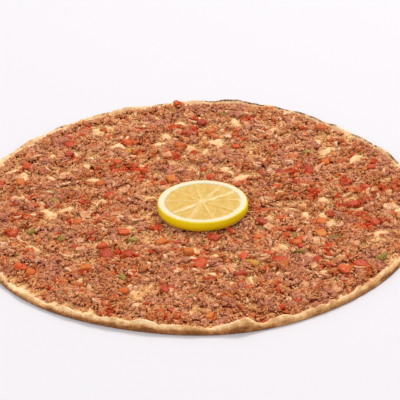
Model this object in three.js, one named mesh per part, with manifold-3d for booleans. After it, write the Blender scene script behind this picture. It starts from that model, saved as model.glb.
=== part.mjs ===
// Lahmacun: a thin round of dough with a low browned rim, spread to near its edge with spiced
// mince, diced vegetables and onion, and one slice of lemon laid a little off its middle.
// Millimetres, +Z up. The origin is the middle of the dough's underside.

import * as THREE from 'three';
import { mergeVertices } from 'three/addons/utils/BufferGeometryUtils.js';
import Module from 'manifold-3d';

const wasm = await Module();
wasm.setup();

// ---------------------------------------------------------------- driving dimensions

const BREAD_RADIUS = 146.5;    // mean radius of the rolled round
const DOUGH_TOP = 2.6;         // thickness of the dough under the mince
const RIM_HEIGHT = 4.6;        // mean height of the rim's crest
const CREST_INSET = 1.5;       // crest, in from the outer edge
const RIM_BAND = 4.2;          // inner foot of the rim, in from the outer edge
const UNDERSIDE_INSET = 1.5;   // edge of the flat underside, in from the outer edge
const BREAD_COLUMNS = 168;     // sections of the rim round the bread
const MIDDLE_FACE_RADIUS = 25; // one plain face round the middle of the underside

// Slow swell of the outline, as [cycles round the edge, reach in mm, phase in degrees].
const OUTLINE_SWELLS = [[3, 0.5, -134], [4, 0.65, 112], [5, 0.8, 41], [7, 0.65, -48]];
// Scallops of the crest, the same way, the reach being a height.
const CREST_SWELLS = [
  [1, 0.45, 180], [5, 0.2, 200], [13, 0.25, 75], [22, 0.25, 200], [34, 0.35, 310],
];

// Where the rim puffed up, or sank if the rise is below 0: angle round the edge in degrees,
// half width along it, rise, and how far the crest rolls in over the mince.
const BLISTERS = [
  { angle: -79, half: 6.8, rise: 4.1, roll: 2 },
  { angle: -87.5, half: 6, rise: -0.9, roll: 0 },
  { angle: -138, half: 24, rise: -1.2, roll: 0 },
  { angle: -101, half: 26, rise: 0.6, roll: 0.3 },
  { angle: 76, half: 26, rise: 1, roll: 0.4 },
  { angle: 23, half: 20, rise: 0.4, roll: 0.3 },
  { angle: 157, half: 16, rise: 0.4, roll: 0.2 },
];
// The nick beside the front blister, where the dough was pinched.
const NICK = { angle: -73.6, half: 4, drop: 1.4 };

const MEAT_THICKNESS = 2.9;    // mean thickness of the mince
const EDGE_THICKNESS = 0.45;   // share of that thickness left at the mince's edge
const MEAT_MARGIN = 1.3;       // mean bare strip between the mince and the rim's foot
const MEAT_RINGS = 26;         // rings of the mince's upper face
const CLUMP_RELIEF = 0.9;      // reach of the clumps above and below the mean
const CRUMB_RELIEF = 0.6;      // reach of the single crumbs
const EDGE_TAPER = 6;          // width over which the mince thins towards its edge
const LEAST_THICKNESS = 0.3;   // of the mince, at a dent near its edge
const SPREAD_JITTER = 0.28;    // how far a point of the mince strays, in steps of its ring

// Uneven strip between the mince and the rim's foot, as the swells above.
const MARGIN_SWELLS = [
  [1, 0.2, 165], [9, 0.3, 40], [17, 0.3, 120], [26, 0.25, 250], [41, 0.15, 10],
];

// Bays where the mince draws back from the rim, as [angle in degrees, half width, how far].
const MARGIN_BAYS = [[-137, 8, 2.4], [-126, 5, 1.2], [-117, 6, 2.2], [-108, 5, 1.5]];

// Heaps that stand up from the mince, each as [x, y, half width, rise].
const HEAPS = [[-13.5, 131, 6, 5], [-58, -24, 12, 0.8], [70, 16, 14, 0.7], [40, -120, 11, 0.7]];

const LEMON_RADIUS = 29;
const LEMON_THICKNESS = 6.5;
const LEMON_FLESH_RADIUS = 24.4;
const LEMON_CORE_RADIUS = 2.4;
const LEMON_CENTRE = [5.1, -11.6];
const LEMON_UNDERSIDE = 6;     // height of the slice's underside at its middle
const LEMON_TILT = 1.5;        // degrees, the far side lower
const LEMON_CLEARANCE = 0.3;   // between the slice and the mince pressed under it
const LEMON_SIDE_ROOM = 0.5;   // between the slice's side and the mince round it
const FLESH_SUNK = 0.55;       // how far the flesh dries in below the cut, beside a membrane
const FLESH_CROWN = 0.25;      // and at the middle of a segment
const SEGMENT_START = 3;       // angle of the first membrane, then each segment's own angle
const SEGMENT_SPANS = [30, 28, 41, 40, 36, 38, 31, 38, 42, 36];
const COLUMNS_PER_SEGMENT = 4;

// Diced pieces, each kind's mean length, width and height.
const KINDS = {
  tomato: { length: 6.6, width: 5, height: 2.8 },
  carrot: { length: 6, width: 4.8, height: 3 },
  pepper: { length: 6.4, width: 3.2, height: 2.2 },
  onion: { length: 6.8, width: 4.4, height: 1.8 },
};

// The pieces that catch the eye, each at [x, y].
const PLACED = {
  tomato: [[12, -46], [6, 111], [98, 19], [-52, 55], [3, -75], [118, 42], [29, 73], [90, -87],
    [-19, -105], [105, -21], [-112, 52], [-85, 67], [52, -74], [-58, -52], [-115, -34], [112, 15],
    [-54, 12], [-55, -64], [-41, -64], [27, -89], [76, 40], [102, -7], [58, 37], [114, -30],
    [-44, -37], [-107, -75], [-34, 43], [-45, 84], [-84, 82], [100, -80], [67, 24]],
  carrot: [[-43, -105], [-4, -61], [-21, -49], [-67, -78], [-75, -22], [8, -133], [79, -43],
    [-15, 30], [-9, 76], [88, 49], [80, -29], [64, -53], [40, -46], [-100, -83]],
  pepper: [[-93, 16], [-83, -43], [-39, -46], [62, -44], [-44, -89], [-5, -112], [114, -73],
    [77, 63], [-44, 72], [35, -75], [-90, 5], [87, -46]],
  onion: [[-28, -55], [24, 90], [83, -105], [-50, -14], [-2, 123], [-76, -102], [38, 106],
    [-70, -15], [48, -34], [-47, 17], [126, 6], [72, -79], [-31, -91], [-71, -57], [-87, 36],
    [-18, 64], [100, -55], [-117, -5]],
};

// Bare spots where the dough shows, as [x, y, half length, half width, heading in degrees].
const BARE_SPOTS = [
  [-94, -8, 9, 3.4, 120], [16, 85, 7, 4.5, 10], [-113, 42, 8, 3, 100], [31, 34, 6.5, 4, 60],
  [-67, 104, 6, 4, 107], [109, 58, 6.5, 3.4, 55], [-82, -4, 5, 3.4, 43], [115, -41, 5, 3.2, 20],
  [55, -55, 5, 2.6, 115], [90, 68, 9, 2.6, 67], [33, -93, 5, 2.4, 97], [-1, -67, 3.5, 2.8, 157],
  [29, 112, 5, 3.2, 74], [20, 47, 3.8, 3.2, 40], [-113, 12, 4.2, 2.8, 76],
  [-101, -51, 6.5, 2.4, 132], [8, 71, 4.2, 3, 86], [-86, 42, 5, 2.6, 58], [82, -17, 4, 2.8, 90],
  [-54, 80, 4.4, 2.8, 30], [56, 101, 4.6, 3.2, 174], [56, 13, 3.8, 2.7, 11],
];

const SCATTERED = 38;          // further dice, spread evenly over the mince
const SCATTER_CYCLE = ['tomato', 'onion', 'carrot', 'onion', 'pepper', 'tomato', 'onion'];
const SPACING = 9;             // least distance between the middles of two pieces
const SCATTER_RADIUS = 132;    // how far out the scatter goes
const DICE_TILT = 0.15;        // most that a piece leans, in radians
const DICE_LIFT = 0.15;        // share of its height that a piece's middle stands above the mince
const SPOT_SIDES = 7;
const GOLDEN_ANGLE = 137.508;

const DOUGH_COLOUR = 0xd8a774;
const MINCE_COLOUR = 0xc1784f;
const LEMON_COLOUR = 0xe8cb62;

// ---------------------------------------------------------------- shared helpers

const radians = THREE.MathUtils.degToRad;

// A repeatable draw of numbers from 0 to 1.
function seededRandom(seed) {
  let state = seed >>> 0;
  return () => {
    state = (state + 0x6d2b79f5) >>> 0;
    let mixed = Math.imul(state ^ (state >>> 15), state | 1);
    mixed ^= mixed + Math.imul(mixed ^ (mixed >>> 7), mixed | 61);
    return ((mixed ^ (mixed >>> 14)) >>> 0) / 4294967296;
  };
}

function swell(swells, angle) {
  return swells.reduce(
    (sum, [cycles, reach, phase]) => sum + reach * Math.sin(cycles * angle + radians(phase)), 0);
}

// 1 at the middle of a bump that lies round the edge at `degrees`, fading over `half` mm.
function bumpAt(angle, degrees, half) {
  const turn = Math.atan2(Math.sin(angle - radians(degrees)), Math.cos(angle - radians(degrees)));
  const away = turn * BREAD_RADIUS / half;
  return Math.exp(-away * away);
}

function atAngle(radius, angle, height) {
  return new THREE.Vector3(radius * Math.cos(angle), radius * Math.sin(angle), height);
}

// Sections of equal length, one at each angle, turned into rings of points.
function ringsOf(sections) {
  const ringCount = sections[0].length;
  const points = [];
  for (let ring = 0; ring < ringCount; ring += 1) {
    sections.forEach((section) => points.push(section[ring]));
  }
  const ringOf = (ring) => sections.map((_, column) => ring * sections.length + column);
  return { points, ringOf, ringCount };
}

// Faces between rings of equal count, each ring anticlockwise seen from above, and the rings
// listed from the underside's edge, up the outside and in over the top.
function skinFaces(ringCount, columns) {
  const faces = [];
  for (let ring = 0; ring + 1 < ringCount; ring += 1) {
    for (let column = 0; column < columns; column += 1) {
      const next = (column + 1) % columns;
      const low = ring * columns;
      const high = low + columns;
      faces.push([low + column, low + next, high + next]);
      faces.push([low + column, high + next, high + column]);
    }
  }
  return faces;
}

// A flat face over one outline, looking up, or down with `down`.
function capFaces(points, outline, down, hole = []) {
  const flat = (indices) => indices.map((i) => new THREE.Vector2(points[i].x, points[i].y));
  const holes = hole.length ? [flat(hole)] : [];
  const indices = [...outline, ...hole];
  return THREE.ShapeUtils.triangulateShape(flat(outline), holes).map((corners) => {
    const face = corners.map((corner) => indices[corner]);
    return down ? face.reverse() : face;
  });
}

function geometryFrom(points, faces) {
  const geometry = new THREE.BufferGeometry();
  const positions = new Float32Array(points.flatMap((point) => point.toArray()));
  geometry.setAttribute('position', new THREE.BufferAttribute(positions, 3));
  geometry.setIndex(faces.flat());
  return geometry;
}

function solidFrom(geometry) {
  return new wasm.Manifold(new wasm.Mesh({
    numProp: 3,
    vertProperties: new Float32Array(geometry.attributes.position.array),
    triVerts: new Uint32Array(geometry.index.array),
  }));
}

function geometryOf(solid) {
  const { vertProperties, triVerts } = solid.getMesh();
  const geometry = new THREE.BufferGeometry();
  geometry.setAttribute('position', new THREE.BufferAttribute(vertProperties, 3));
  geometry.setIndex(new THREE.BufferAttribute(triVerts, 1));
  return geometry;
}

function pieceOf(name, geometry, color, roughness) {
  geometry.computeVertexNormals();
  const material = new THREE.MeshStandardMaterial({ color, roughness, metalness: 0 });
  const piece = new THREE.Mesh(geometry, material);
  piece.name = name;
  return piece;
}

// ---------------------------------------------------------------- flatbread

function breadEdge(angle) {
  return BREAD_RADIUS + swell(OUTLINE_SWELLS, angle);
}

function crestHeight(angle) {
  const puffed = BLISTERS.reduce(
    (sum, blister) => sum + blister.rise * bumpAt(angle, blister.angle, blister.half), 0);
  const pinched = NICK.drop * bumpAt(angle, NICK.angle, NICK.half);
  return RIM_HEIGHT + swell(CREST_SWELLS, angle) + puffed - pinched;
}

function crestRoll(angle) {
  return BLISTERS.reduce(
    (sum, blister) => sum + blister.roll * bumpAt(angle, blister.angle, blister.half), 0);
}

// The rim's section at one angle: points from the underside's edge to the inner foot, each as
// [distance in from the outer edge, height].
function rimSection(angle) {
  const crest = crestHeight(angle);
  const inset = CREST_INSET + crestRoll(angle) * 0.5;
  return [
    [UNDERSIDE_INSET, 0],
    [0.4, 0.5],
    [0, crest * 0.42],
    [0.3, crest * 0.78],
    [inset, crest],
    [inset + 1.3, DOUGH_TOP + (crest - DOUGH_TOP) * 0.6],
    [RIM_BAND, DOUGH_TOP],
  ];
}

function flatbread() {
  const sections = Array.from({ length: BREAD_COLUMNS }, (_, column) => {
    const angle = (column / BREAD_COLUMNS) * Math.PI * 2;
    const edge = breadEdge(angle);
    return rimSection(angle).map(([inset, height]) => atAngle(edge - inset, angle, height));
  });
  const { points, ringOf, ringCount } = ringsOf(sections);
  const middle = [0, 1, 2].map((corner) => {
    points.push(atAngle(MIDDLE_FACE_RADIUS, corner * Math.PI * 2 / 3, 0));
    return points.length - 1;
  });
  const faces = [
    ...skinFaces(ringCount, BREAD_COLUMNS),
    ...capFaces(points, ringOf(0), true, middle),
    [...middle].reverse(),
    ...capFaces(points, ringOf(ringCount - 1), false),
  ];
  return pieceOf('flatbread', geometryFrom(points, faces), DOUGH_COLOUR, 0.75);
}

// ---------------------------------------------------------------- lemon slice

function lemonAngles() {
  const angles = [];
  let start = SEGMENT_START;
  SEGMENT_SPANS.forEach((span) => {
    for (let column = 0; column < COLUMNS_PER_SEGMENT; column += 1) {
      angles.push(radians(start + span * column / COLUMNS_PER_SEGMENT));
    }
    start += span;
  });
  return angles;
}

// The slice's section at one angle, as [radius, height]: peel, pith, then the sunk flesh, which
// stands up along each membrane.
function lemonSection(onMembrane) {
  const sunk = onMembrane ? 0.1 : FLESH_SUNK;
  const crown = onMembrane ? 0 : FLESH_CROWN;
  const core = LEMON_CORE_RADIUS;
  const flesh = LEMON_FLESH_RADIUS;
  const top = LEMON_THICKNESS;
  return [
    [LEMON_RADIUS - 0.7, 0],
    [LEMON_RADIUS - 0.1, top * 0.22],
    [LEMON_RADIUS, top * 0.55],
    [LEMON_RADIUS - 0.2, top * 0.85],
    [LEMON_RADIUS - 0.9, top],
    [flesh + 0.5, top],
    [flesh, top - sunk],
    [flesh * 0.62 + core * 0.38, top - crown],
    [flesh * 0.2 + core * 0.8, top - sunk],
    [core, top],
  ];
}

function lemonGeometry() {
  const sections = lemonAngles().map((angle, column) => {
    const onMembrane = column % COLUMNS_PER_SEGMENT === 0;
    return lemonSection(onMembrane).map(([radius, height]) => atAngle(radius, angle, height));
  });
  const { points, ringOf, ringCount } = ringsOf(sections);
  return geometryFrom(points, [
    ...skinFaces(ringCount, sections.length),
    ...capFaces(points, ringOf(0), true),
    ...capFaces(points, ringOf(ringCount - 1), false),
  ]);
}

// Where the slice lies, as a placing of its own frame.
function lemonPlace() {
  const turn = new THREE.Matrix4().makeRotationX(radians(-LEMON_TILT));
  return turn.setPosition(LEMON_CENTRE[0], LEMON_CENTRE[1], LEMON_UNDERSIDE);
}

function lemonSlice() {
  const group = new THREE.Group();
  group.add(pieceOf('lemon_slice', lemonGeometry(), LEMON_COLOUR, 0.4));
  group.applyMatrix4(lemonPlace());
  return group;
}

// ---------------------------------------------------------------- meat topping

// Clumps: plane waves of several lengths and headings, summed to stay near -1 to 1.
const CLUMP_WAVES = Array.from({ length: 12 }, (_, i) => {
  const heading = radians(i * GOLDEN_ANGLE);
  const length = 10 + i * 1.3;
  return {
    x: Math.cos(heading) * 2 * Math.PI / length,
    y: Math.sin(heading) * 2 * Math.PI / length,
    phase: i * i * 0.7,
  };
});

function clumps(x, y) {
  const sum = CLUMP_WAVES.reduce(
    (total, wave) => total + Math.cos(wave.x * x + wave.y * y + wave.phase), 0);
  return sum / Math.sqrt(CLUMP_WAVES.length * 1.4);
}

function meatEdge(angle) {
  const drawnBack = MARGIN_BAYS.reduce(
    (sum, [degrees, half, reach]) => sum + reach * bumpAt(angle, degrees, half), 0);
  return breadEdge(angle) - RIM_BAND - MEAT_MARGIN - swell(MARGIN_SWELLS, angle) - drawnBack;
}

function meatHeight(x, y) {
  const inside = meatEdge(Math.atan2(y, x)) - Math.hypot(x, y);
  const taper = THREE.MathUtils.smoothstep(inside, -1, EDGE_TAPER);
  const heaped = HEAPS.reduce((sum, [heapX, heapY, half, rise]) => (
    sum + rise * Math.exp(-((x - heapX) ** 2 + (y - heapY) ** 2) / half ** 2)), 0);
  const thickness = MEAT_THICKNESS + CLUMP_RELIEF * clumps(x, y) + heaped;
  return DOUGH_TOP + thickness * (EDGE_THICKNESS + (1 - EDGE_THICKNESS) * taper);
}

// The mince's upper face: points on rings, ring k with 6k of them, strewn out of true.
function meatPoints() {
  const random = seededRandom(11);
  const jitter = (reach) => (random() * 2 - 1) * reach;
  const points = [new THREE.Vector3(0, 0, meatHeight(0, 0))];
  for (let ring = 1; ring <= MEAT_RINGS; ring += 1) {
    const count = ring * 6;
    const strayed = ring < MEAT_RINGS ? SPREAD_JITTER : 0;
    for (let i = 0; i < count; i += 1) {
      const angle = ((i + jitter(SPREAD_JITTER)) / count) * Math.PI * 2;
      const share = (ring + jitter(strayed)) / MEAT_RINGS;
      const point = atAngle(meatEdge(angle) * share, angle, 0);
      const rough = meatHeight(point.x, point.y) + jitter(CRUMB_RELIEF);
      point.z = Math.max(rough, DOUGH_TOP + LEAST_THICKNESS);
      points.push(point);
    }
  }
  return points;
}

function meatFaces() {
  const indexOf = (ring, i) => (ring === 0 ? 0 : 1 + 3 * ring * (ring - 1) + (i % (6 * ring)));
  const faces = [];
  for (let ring = 0; ring < MEAT_RINGS; ring += 1) {
    const outer = ring + 1;
    for (let sector = 0; sector < 6; sector += 1) {
      for (let i = 0; i <= ring; i += 1) {
        const here = indexOf(ring, sector * ring + i);
        const outward = indexOf(outer, sector * outer + i);
        const beside = indexOf(outer, sector * outer + i + 1);
        faces.push([here, outward, beside]);
        if (i < ring) {
          faces.push([here, beside, indexOf(ring, sector * ring + i + 1)]);
        }
      }
    }
  }
  return faces;
}

// The mince alone, closed by a wall round its edge and a flat underside.
function meatCore() {
  const points = meatPoints();
  const faces = meatFaces();
  const rimCount = MEAT_RINGS * 6;
  const rimStart = points.length - rimCount;
  const footStart = points.length;
  for (let i = 0; i < rimCount; i += 1) {
    points.push(points[rimStart + i].clone().setZ(DOUGH_TOP));
  }
  for (let i = 0; i < rimCount; i += 1) {
    const next = (i + 1) % rimCount;
    faces.push([footStart + i, footStart + next, rimStart + next]);
    faces.push([footStart + i, rimStart + next, rimStart + i]);
  }
  const foot = Array.from({ length: rimCount }, (_, i) => footStart + i);
  faces.push(...capFaces(points, foot, true));
  return solidFrom(geometryFrom(points, faces));
}

// A diced piece: a box whose corners are drawn out of true.
function dice({ length, width, height }, random) {
  const box = new THREE.BoxGeometry(length, width, height);
  box.deleteAttribute('normal');
  box.deleteAttribute('uv');
  const piece = mergeVertices(box);
  const corners = piece.attributes.position;
  for (let i = 0; i < corners.count; i += 1) {
    corners.setX(i, corners.getX(i) * (0.75 + random() * 0.4));
    corners.setY(i, corners.getY(i) * (0.75 + random() * 0.4));
    corners.setZ(i, corners.getZ(i) * (0.8 + random() * 0.3));
  }
  return piece;
}

// Every diced piece, as { kind, x, y }: those placed by hand, then an even scatter that turns
// by the golden angle from each piece to the next and skips what is too close.
function dicedPieces() {
  const pieces = Object.entries(PLACED).flatMap(
    ([kind, places]) => places.map(([x, y]) => ({ kind, x, y })));
  for (let i = 0; i < SCATTERED; i += 1) {
    const radius = SCATTER_RADIUS * Math.sqrt((i + 0.5) / SCATTERED);
    const angle = radians(i * GOLDEN_ANGLE);
    const x = radius * Math.cos(angle);
    const y = radius * Math.sin(angle);
    const close = pieces.some((other) => Math.hypot(other.x - x, other.y - y) < SPACING);
    const bare = BARE_SPOTS.some(([sx, sy, half]) => Math.hypot(sx - x, sy - y) < half + 2);
    const covered = Math.hypot(LEMON_CENTRE[0] - x, LEMON_CENTRE[1] - y) < LEMON_RADIUS;
    if (!close && !bare && !covered) {
      pieces.push({ kind: SCATTER_CYCLE[i % SCATTER_CYCLE.length], x, y });
    }
  }
  return pieces;
}

function dicedSolid({ kind, x, y }, index) {
  const random = seededRandom(500 + index);
  const size = 0.8 + random() * 0.4;
  const { length, width, height } = KINDS[kind];
  const piece = dice({ length: length * size, width: width * size, height }, random);
  const lean = () => (random() * 2 - 1) * DICE_TILT;
  const turn = new THREE.Euler(lean(), lean(), random() * Math.PI);
  const place = new THREE.Matrix4().makeRotationFromEuler(turn);
  place.setPosition(x, y, meatHeight(x, y) + height * DICE_LIFT);
  return solidFrom(piece.applyMatrix4(place));
}

// A cutter for one bare spot: a ragged well, wider at the top, right through the mince.
function bareSpotSolid([x, y, length, width, heading], index) {
  const random = seededRandom(900 + index);
  const levels = [[DOUGH_TOP - 1, 0.7], [DOUGH_TOP + 9, 1.5]];
  const reaches = Array.from({ length: SPOT_SIDES }, () => length * (0.75 + random() * 0.4));
  const points = levels.flatMap(([height, spread]) => reaches.map((reach, side) => {
    const point = atAngle(reach * spread, (side / SPOT_SIDES) * Math.PI * 2, 0);
    point.y *= width / length;
    point.applyAxisAngle(new THREE.Vector3(0, 0, 1), radians(heading));
    return point.add(new THREE.Vector3(x, y, height));
  }));
  const ringOf = (ring) => reaches.map((_, side) => ring * SPOT_SIDES + side);
  const faces = [
    ...skinFaces(levels.length, SPOT_SIDES),
    ...capFaces(points, ringOf(0), true),
    ...capFaces(points, ringOf(1), false),
  ];
  return solidFrom(geometryFrom(points, faces));
}

// The room that the lemon slice needs: its own disc, a little larger, run up clear of the top.
function lemonRoom() {
  const sides = 48;
  const height = 30;
  const radius = LEMON_RADIUS + LEMON_SIDE_ROOM;
  const room = new THREE.CylinderGeometry(radius, radius, height, sides);
  room.deleteAttribute('normal');
  room.deleteAttribute('uv');
  const merged = mergeVertices(room);
  merged.rotateX(Math.PI / 2);
  merged.translate(0, 0, height / 2 - LEMON_CLEARANCE);
  return solidFrom(merged.applyMatrix4(lemonPlace()));
}

// Of what a cut leaves, the largest body; loose scraps go.
function largestBody(solid) {
  return solid.decompose().reduce((best, body) => (body.volume() > best.volume() ? body : best));
}

function meatTopping() {
  let solid = meatCore();
  BARE_SPOTS.forEach((spot, index) => {
    solid = solid.subtract(bareSpotSolid(spot, index));
  });
  dicedPieces().forEach((piece, index) => {
    solid = solid.add(dicedSolid(piece, index));
  });
  solid = solid.subtract(lemonRoom());
  return pieceOf('meat_topping', geometryOf(largestBody(solid)), MINCE_COLOUR, 0.6);
}

// ---------------------------------------------------------------- the whole

const lahmacun = new THREE.Group();
lahmacun.add(flatbread());
lahmacun.add(meatTopping());
lahmacun.add(lemonSlice());

export default lahmacun;
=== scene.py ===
# %% [markdown]
# A lahmacun is a round of thin dough, baked with a layer of spiced mince that is full of diced
# tomato, pepper and onion, and eaten with lemon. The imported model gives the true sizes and
# places of its three pieces: the flatbread, the meat topping and the slice of lemon. This
# lesson dresses each of them: it models the fine surface over the plain one, and gives each
# surface its own finish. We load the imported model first, because everything sits on it.

# %% Load the frame
import math
import bpy
import numpy as np
from mathutils import Matrix, Vector
from mathutils.kdtree import KDTree


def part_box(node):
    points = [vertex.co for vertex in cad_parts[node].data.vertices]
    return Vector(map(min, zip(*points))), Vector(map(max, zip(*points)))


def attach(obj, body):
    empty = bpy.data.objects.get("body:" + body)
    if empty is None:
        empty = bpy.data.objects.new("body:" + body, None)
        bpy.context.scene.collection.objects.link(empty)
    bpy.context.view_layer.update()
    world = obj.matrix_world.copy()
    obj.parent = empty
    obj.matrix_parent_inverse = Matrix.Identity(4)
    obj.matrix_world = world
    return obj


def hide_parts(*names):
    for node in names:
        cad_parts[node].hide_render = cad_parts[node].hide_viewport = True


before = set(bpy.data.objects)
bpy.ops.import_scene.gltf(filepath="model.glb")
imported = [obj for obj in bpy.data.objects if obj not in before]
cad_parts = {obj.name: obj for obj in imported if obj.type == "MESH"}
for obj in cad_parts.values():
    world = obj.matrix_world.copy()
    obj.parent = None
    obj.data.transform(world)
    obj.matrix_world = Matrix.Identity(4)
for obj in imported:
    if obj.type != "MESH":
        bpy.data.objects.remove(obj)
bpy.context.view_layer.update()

print("nodes:", sorted(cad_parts))

# %% [markdown]
# Blender counts in metres, and a cook thinks in millimetres, so every size below is written in
# millimetres and turned into metres once, when a mesh is made. The driving sizes are the same
# ones that the solids were made from: the bread's radius, the thickness of its dough, the
# height of its rim, and where the lemon lies.

# %% Sizes that everything is worked out from
MM = 0.001
BREAD_RADIUS = 146.5
DOUGH_TOP = 2.6
RIM_HEIGHT = 4.6
CREST_INSET = 1.5
RIM_BAND = 4.2
UNDERSIDE_INSET = 1.5
MEAT_THICKNESS = 2.9
LEMON_RADIUS = 29.0
LEMON_THICKNESS = 6.5
LEMON_CENTRE = (5.1, -11.6)
LEMON_UNDERSIDE = 6.0
LEMON_TILT = math.radians(1.5)
GOLDEN_ANGLE = math.radians(137.508)

low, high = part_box("flatbread")
print("the bread spans", round((high.x - low.x) / MM, 1), "mm")

# %% [markdown]
# A long lens stands a good metre off, about thirty degrees above the table, so that the round
# reads as a wide ellipse without much perspective. The camera is aimed by building its axes: it
# looks along one vector, and the picture's sideways axis stays level but for a slight roll.

# %% The camera
CAMERA_DISTANCE = 1200 * MM
CAMERA_ELEVATION = math.radians(29.95)
CAMERA_ROLL = math.radians(-1.13)
CAMERA_AIM = Vector((3.6, 11.3, 0)) * MM
FOCAL_PIXELS = 1838.4
PICTURE_PIXELS = 400
SENSOR_WIDTH = 36.0

scene = bpy.context.scene
camera_data = bpy.data.cameras.new("camera")
camera_data.sensor_width = SENSOR_WIDTH
camera_data.lens = FOCAL_PIXELS / PICTURE_PIXELS * SENSOR_WIDTH
camera = bpy.data.objects.new("camera", camera_data)
scene.collection.objects.link(camera)
looking = Vector((0, math.cos(CAMERA_ELEVATION), -math.sin(CAMERA_ELEVATION)))
camera.location = CAMERA_AIM - looking * CAMERA_DISTANCE
aimed = looking.to_track_quat("-Z", "Y").to_matrix().to_4x4()
camera.rotation_euler = (aimed @ Matrix.Rotation(CAMERA_ROLL, 4, "Z")).to_euler()
scene.camera = camera
print("lens", round(camera_data.lens, 1), "mm")

# %% [markdown]
# The table is a plain pale floor, lit as in a studio: a bright even sky fills every shadow, and
# one large soft lamp at the back right gives the rim and the crumbs their shape. A lamp's size
# sets how soft its shadows are. The view transform is set to Standard, so that a white table
# comes out white and the colours of the food are not greyed.

# %% The table and the light
TABLE_SIZE = 12  # metres, far past the picture's edges
SKY_COLOUR = (1.0, 0.995, 1.0, 1)
SKY_STRENGTH = 0.73
LAMPS = {  # name: place in metres, size in metres, power in watts
    "key": ((1.35, 2.0, 3.05), 1.2, 89.0),
    "fill": ((-1.6, -2.0, 2.4), 2.2, 25.0),
}

bpy.ops.object.select_all(action="DESELECT")
bpy.ops.mesh.primitive_plane_add(size=TABLE_SIZE)
table = bpy.context.object
table.name = "table_top"

world = bpy.data.worlds.new("sky")
world.use_nodes = True
background = world.node_tree.nodes["Background"]
background.inputs["Color"].default_value = SKY_COLOUR
background.inputs["Strength"].default_value = SKY_STRENGTH
scene.world = world
scene.view_settings.view_transform = "Standard"

for name, (place, size, power) in LAMPS.items():
    lamp_data = bpy.data.lights.new(name, "AREA")
    lamp_data.shape = "DISK"
    lamp_data.size = size
    lamp_data.energy = power
    lamp = bpy.data.objects.new(name, lamp_data)
    lamp.location = place
    lamp.rotation_euler = (-Vector(place)).to_track_quat("-Z", "Y").to_euler()
    scene.collection.objects.link(lamp)
print("lamps:", list(LAMPS))

# %% [markdown]
# Food is uneven everywhere, but a lesson has to come out the same each time. These helpers give
# unevenness that repeats. `lattice` turns whole numbers into a fixed random one, `noise` blends
# it into a smooth swell, `round_noise` wraps that round a piece without a seam, and `cells`
# splits a plane into crumbs and tells how far each point is from the middle of its own crumb.
# They take whole arrays, so one call shapes a mesh.

# %% Helpers for repeatable unevenness
def lattice(across, up, seed):
    n = (across.astype(np.int64) * 374761393 + up.astype(np.int64) * 668265263 + seed * 974711)
    n = n & 0xFFFFFFFF
    n = ((n ^ (n >> 13)) * 1274126177) & 0xFFFFFFFF
    return (n ^ (n >> 16)) / 4294967296.0


def smooth(value, low, high):
    t = np.clip((value - low) / (high - low), 0, 1)
    return t * t * (3 - 2 * t)


def noise(x, y, size, seed):
    u, v = x / size, y / size
    i, j = np.floor(u), np.floor(v)
    a, b = smooth(u - i, 0, 1), smooth(v - j, 0, 1)
    lower = lattice(i, j, seed) * (1 - a) + lattice(i + 1, j, seed) * a
    upper = lattice(i, j + 1, seed) * (1 - a) + lattice(i + 1, j + 1, seed) * a
    return (lower * (1 - b) + upper * b) * 2 - 1


CLOSING = 0.3  # radians before half a turn, over which the two ends are blended


def round_noise(angle, radius, up, size, seed):
    """Noise on the wall of a round piece, which closes on itself at half a turn."""
    along, whole = angle * radius, 2 * math.pi * radius
    closing = smooth(angle, math.pi - CLOSING, math.pi)
    return noise(along, up, size, seed) * (1 - closing) + noise(along - whole, up, size, seed) * closing


def cells(x, y, size, seed):
    u, v = x / size, y / size
    i, j = np.floor(u), np.floor(v)
    nearest = np.full(x.shape, 9.0)
    own = np.zeros(x.shape)
    for di in (-1, 0, 1):
        for dj in (-1, 0, 1):
            middle_u = i + di + lattice(i + di, j + dj, seed)
            middle_v = j + dj + lattice(i + di, j + dj, seed + 1)
            away = np.hypot(u - middle_u, v - middle_v)
            closer = away < nearest
            nearest = np.where(closer, away, nearest)
            own = np.where(closer, lattice(i + di, j + dj, seed + 2), own)
    return nearest, own


sample = noise(np.arange(5.0), np.zeros(5), 2.0, 1)
print("noise along a line:", sample.round(2))

# %% [markdown]
# The solids were strewn with diced pieces by a small rule with its own seeded draw. Repeating
# that draw here puts every fine piece exactly over its plain one.

# %% The same draw of numbers as the solids use
def seeded(seed):
    state = seed & 0xFFFFFFFF
    while True:
        state = (state + 0x6D2B79F5) & 0xFFFFFFFF
        mixed = ((state ^ (state >> 15)) * (state | 1)) & 0xFFFFFFFF
        mixed ^= (mixed + (((mixed ^ (mixed >> 7)) * (mixed | 61)) & 0xFFFFFFFF)) & 0xFFFFFFFF
        yield ((mixed ^ (mixed >> 14)) & 0xFFFFFFFF) / 4294967296


draw = seeded(11)
print("first draws:", [round(next(draw), 4) for _ in range(3)])

# %% [markdown]
# The outline of the bread, the height of its crest and the edge of the mince are sums of a few
# slow waves, with a blister where the dough puffed up and a bay where the mince draws back. The
# lists repeat those of the solids, so the fine pieces keep the plain ones' form.

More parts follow.
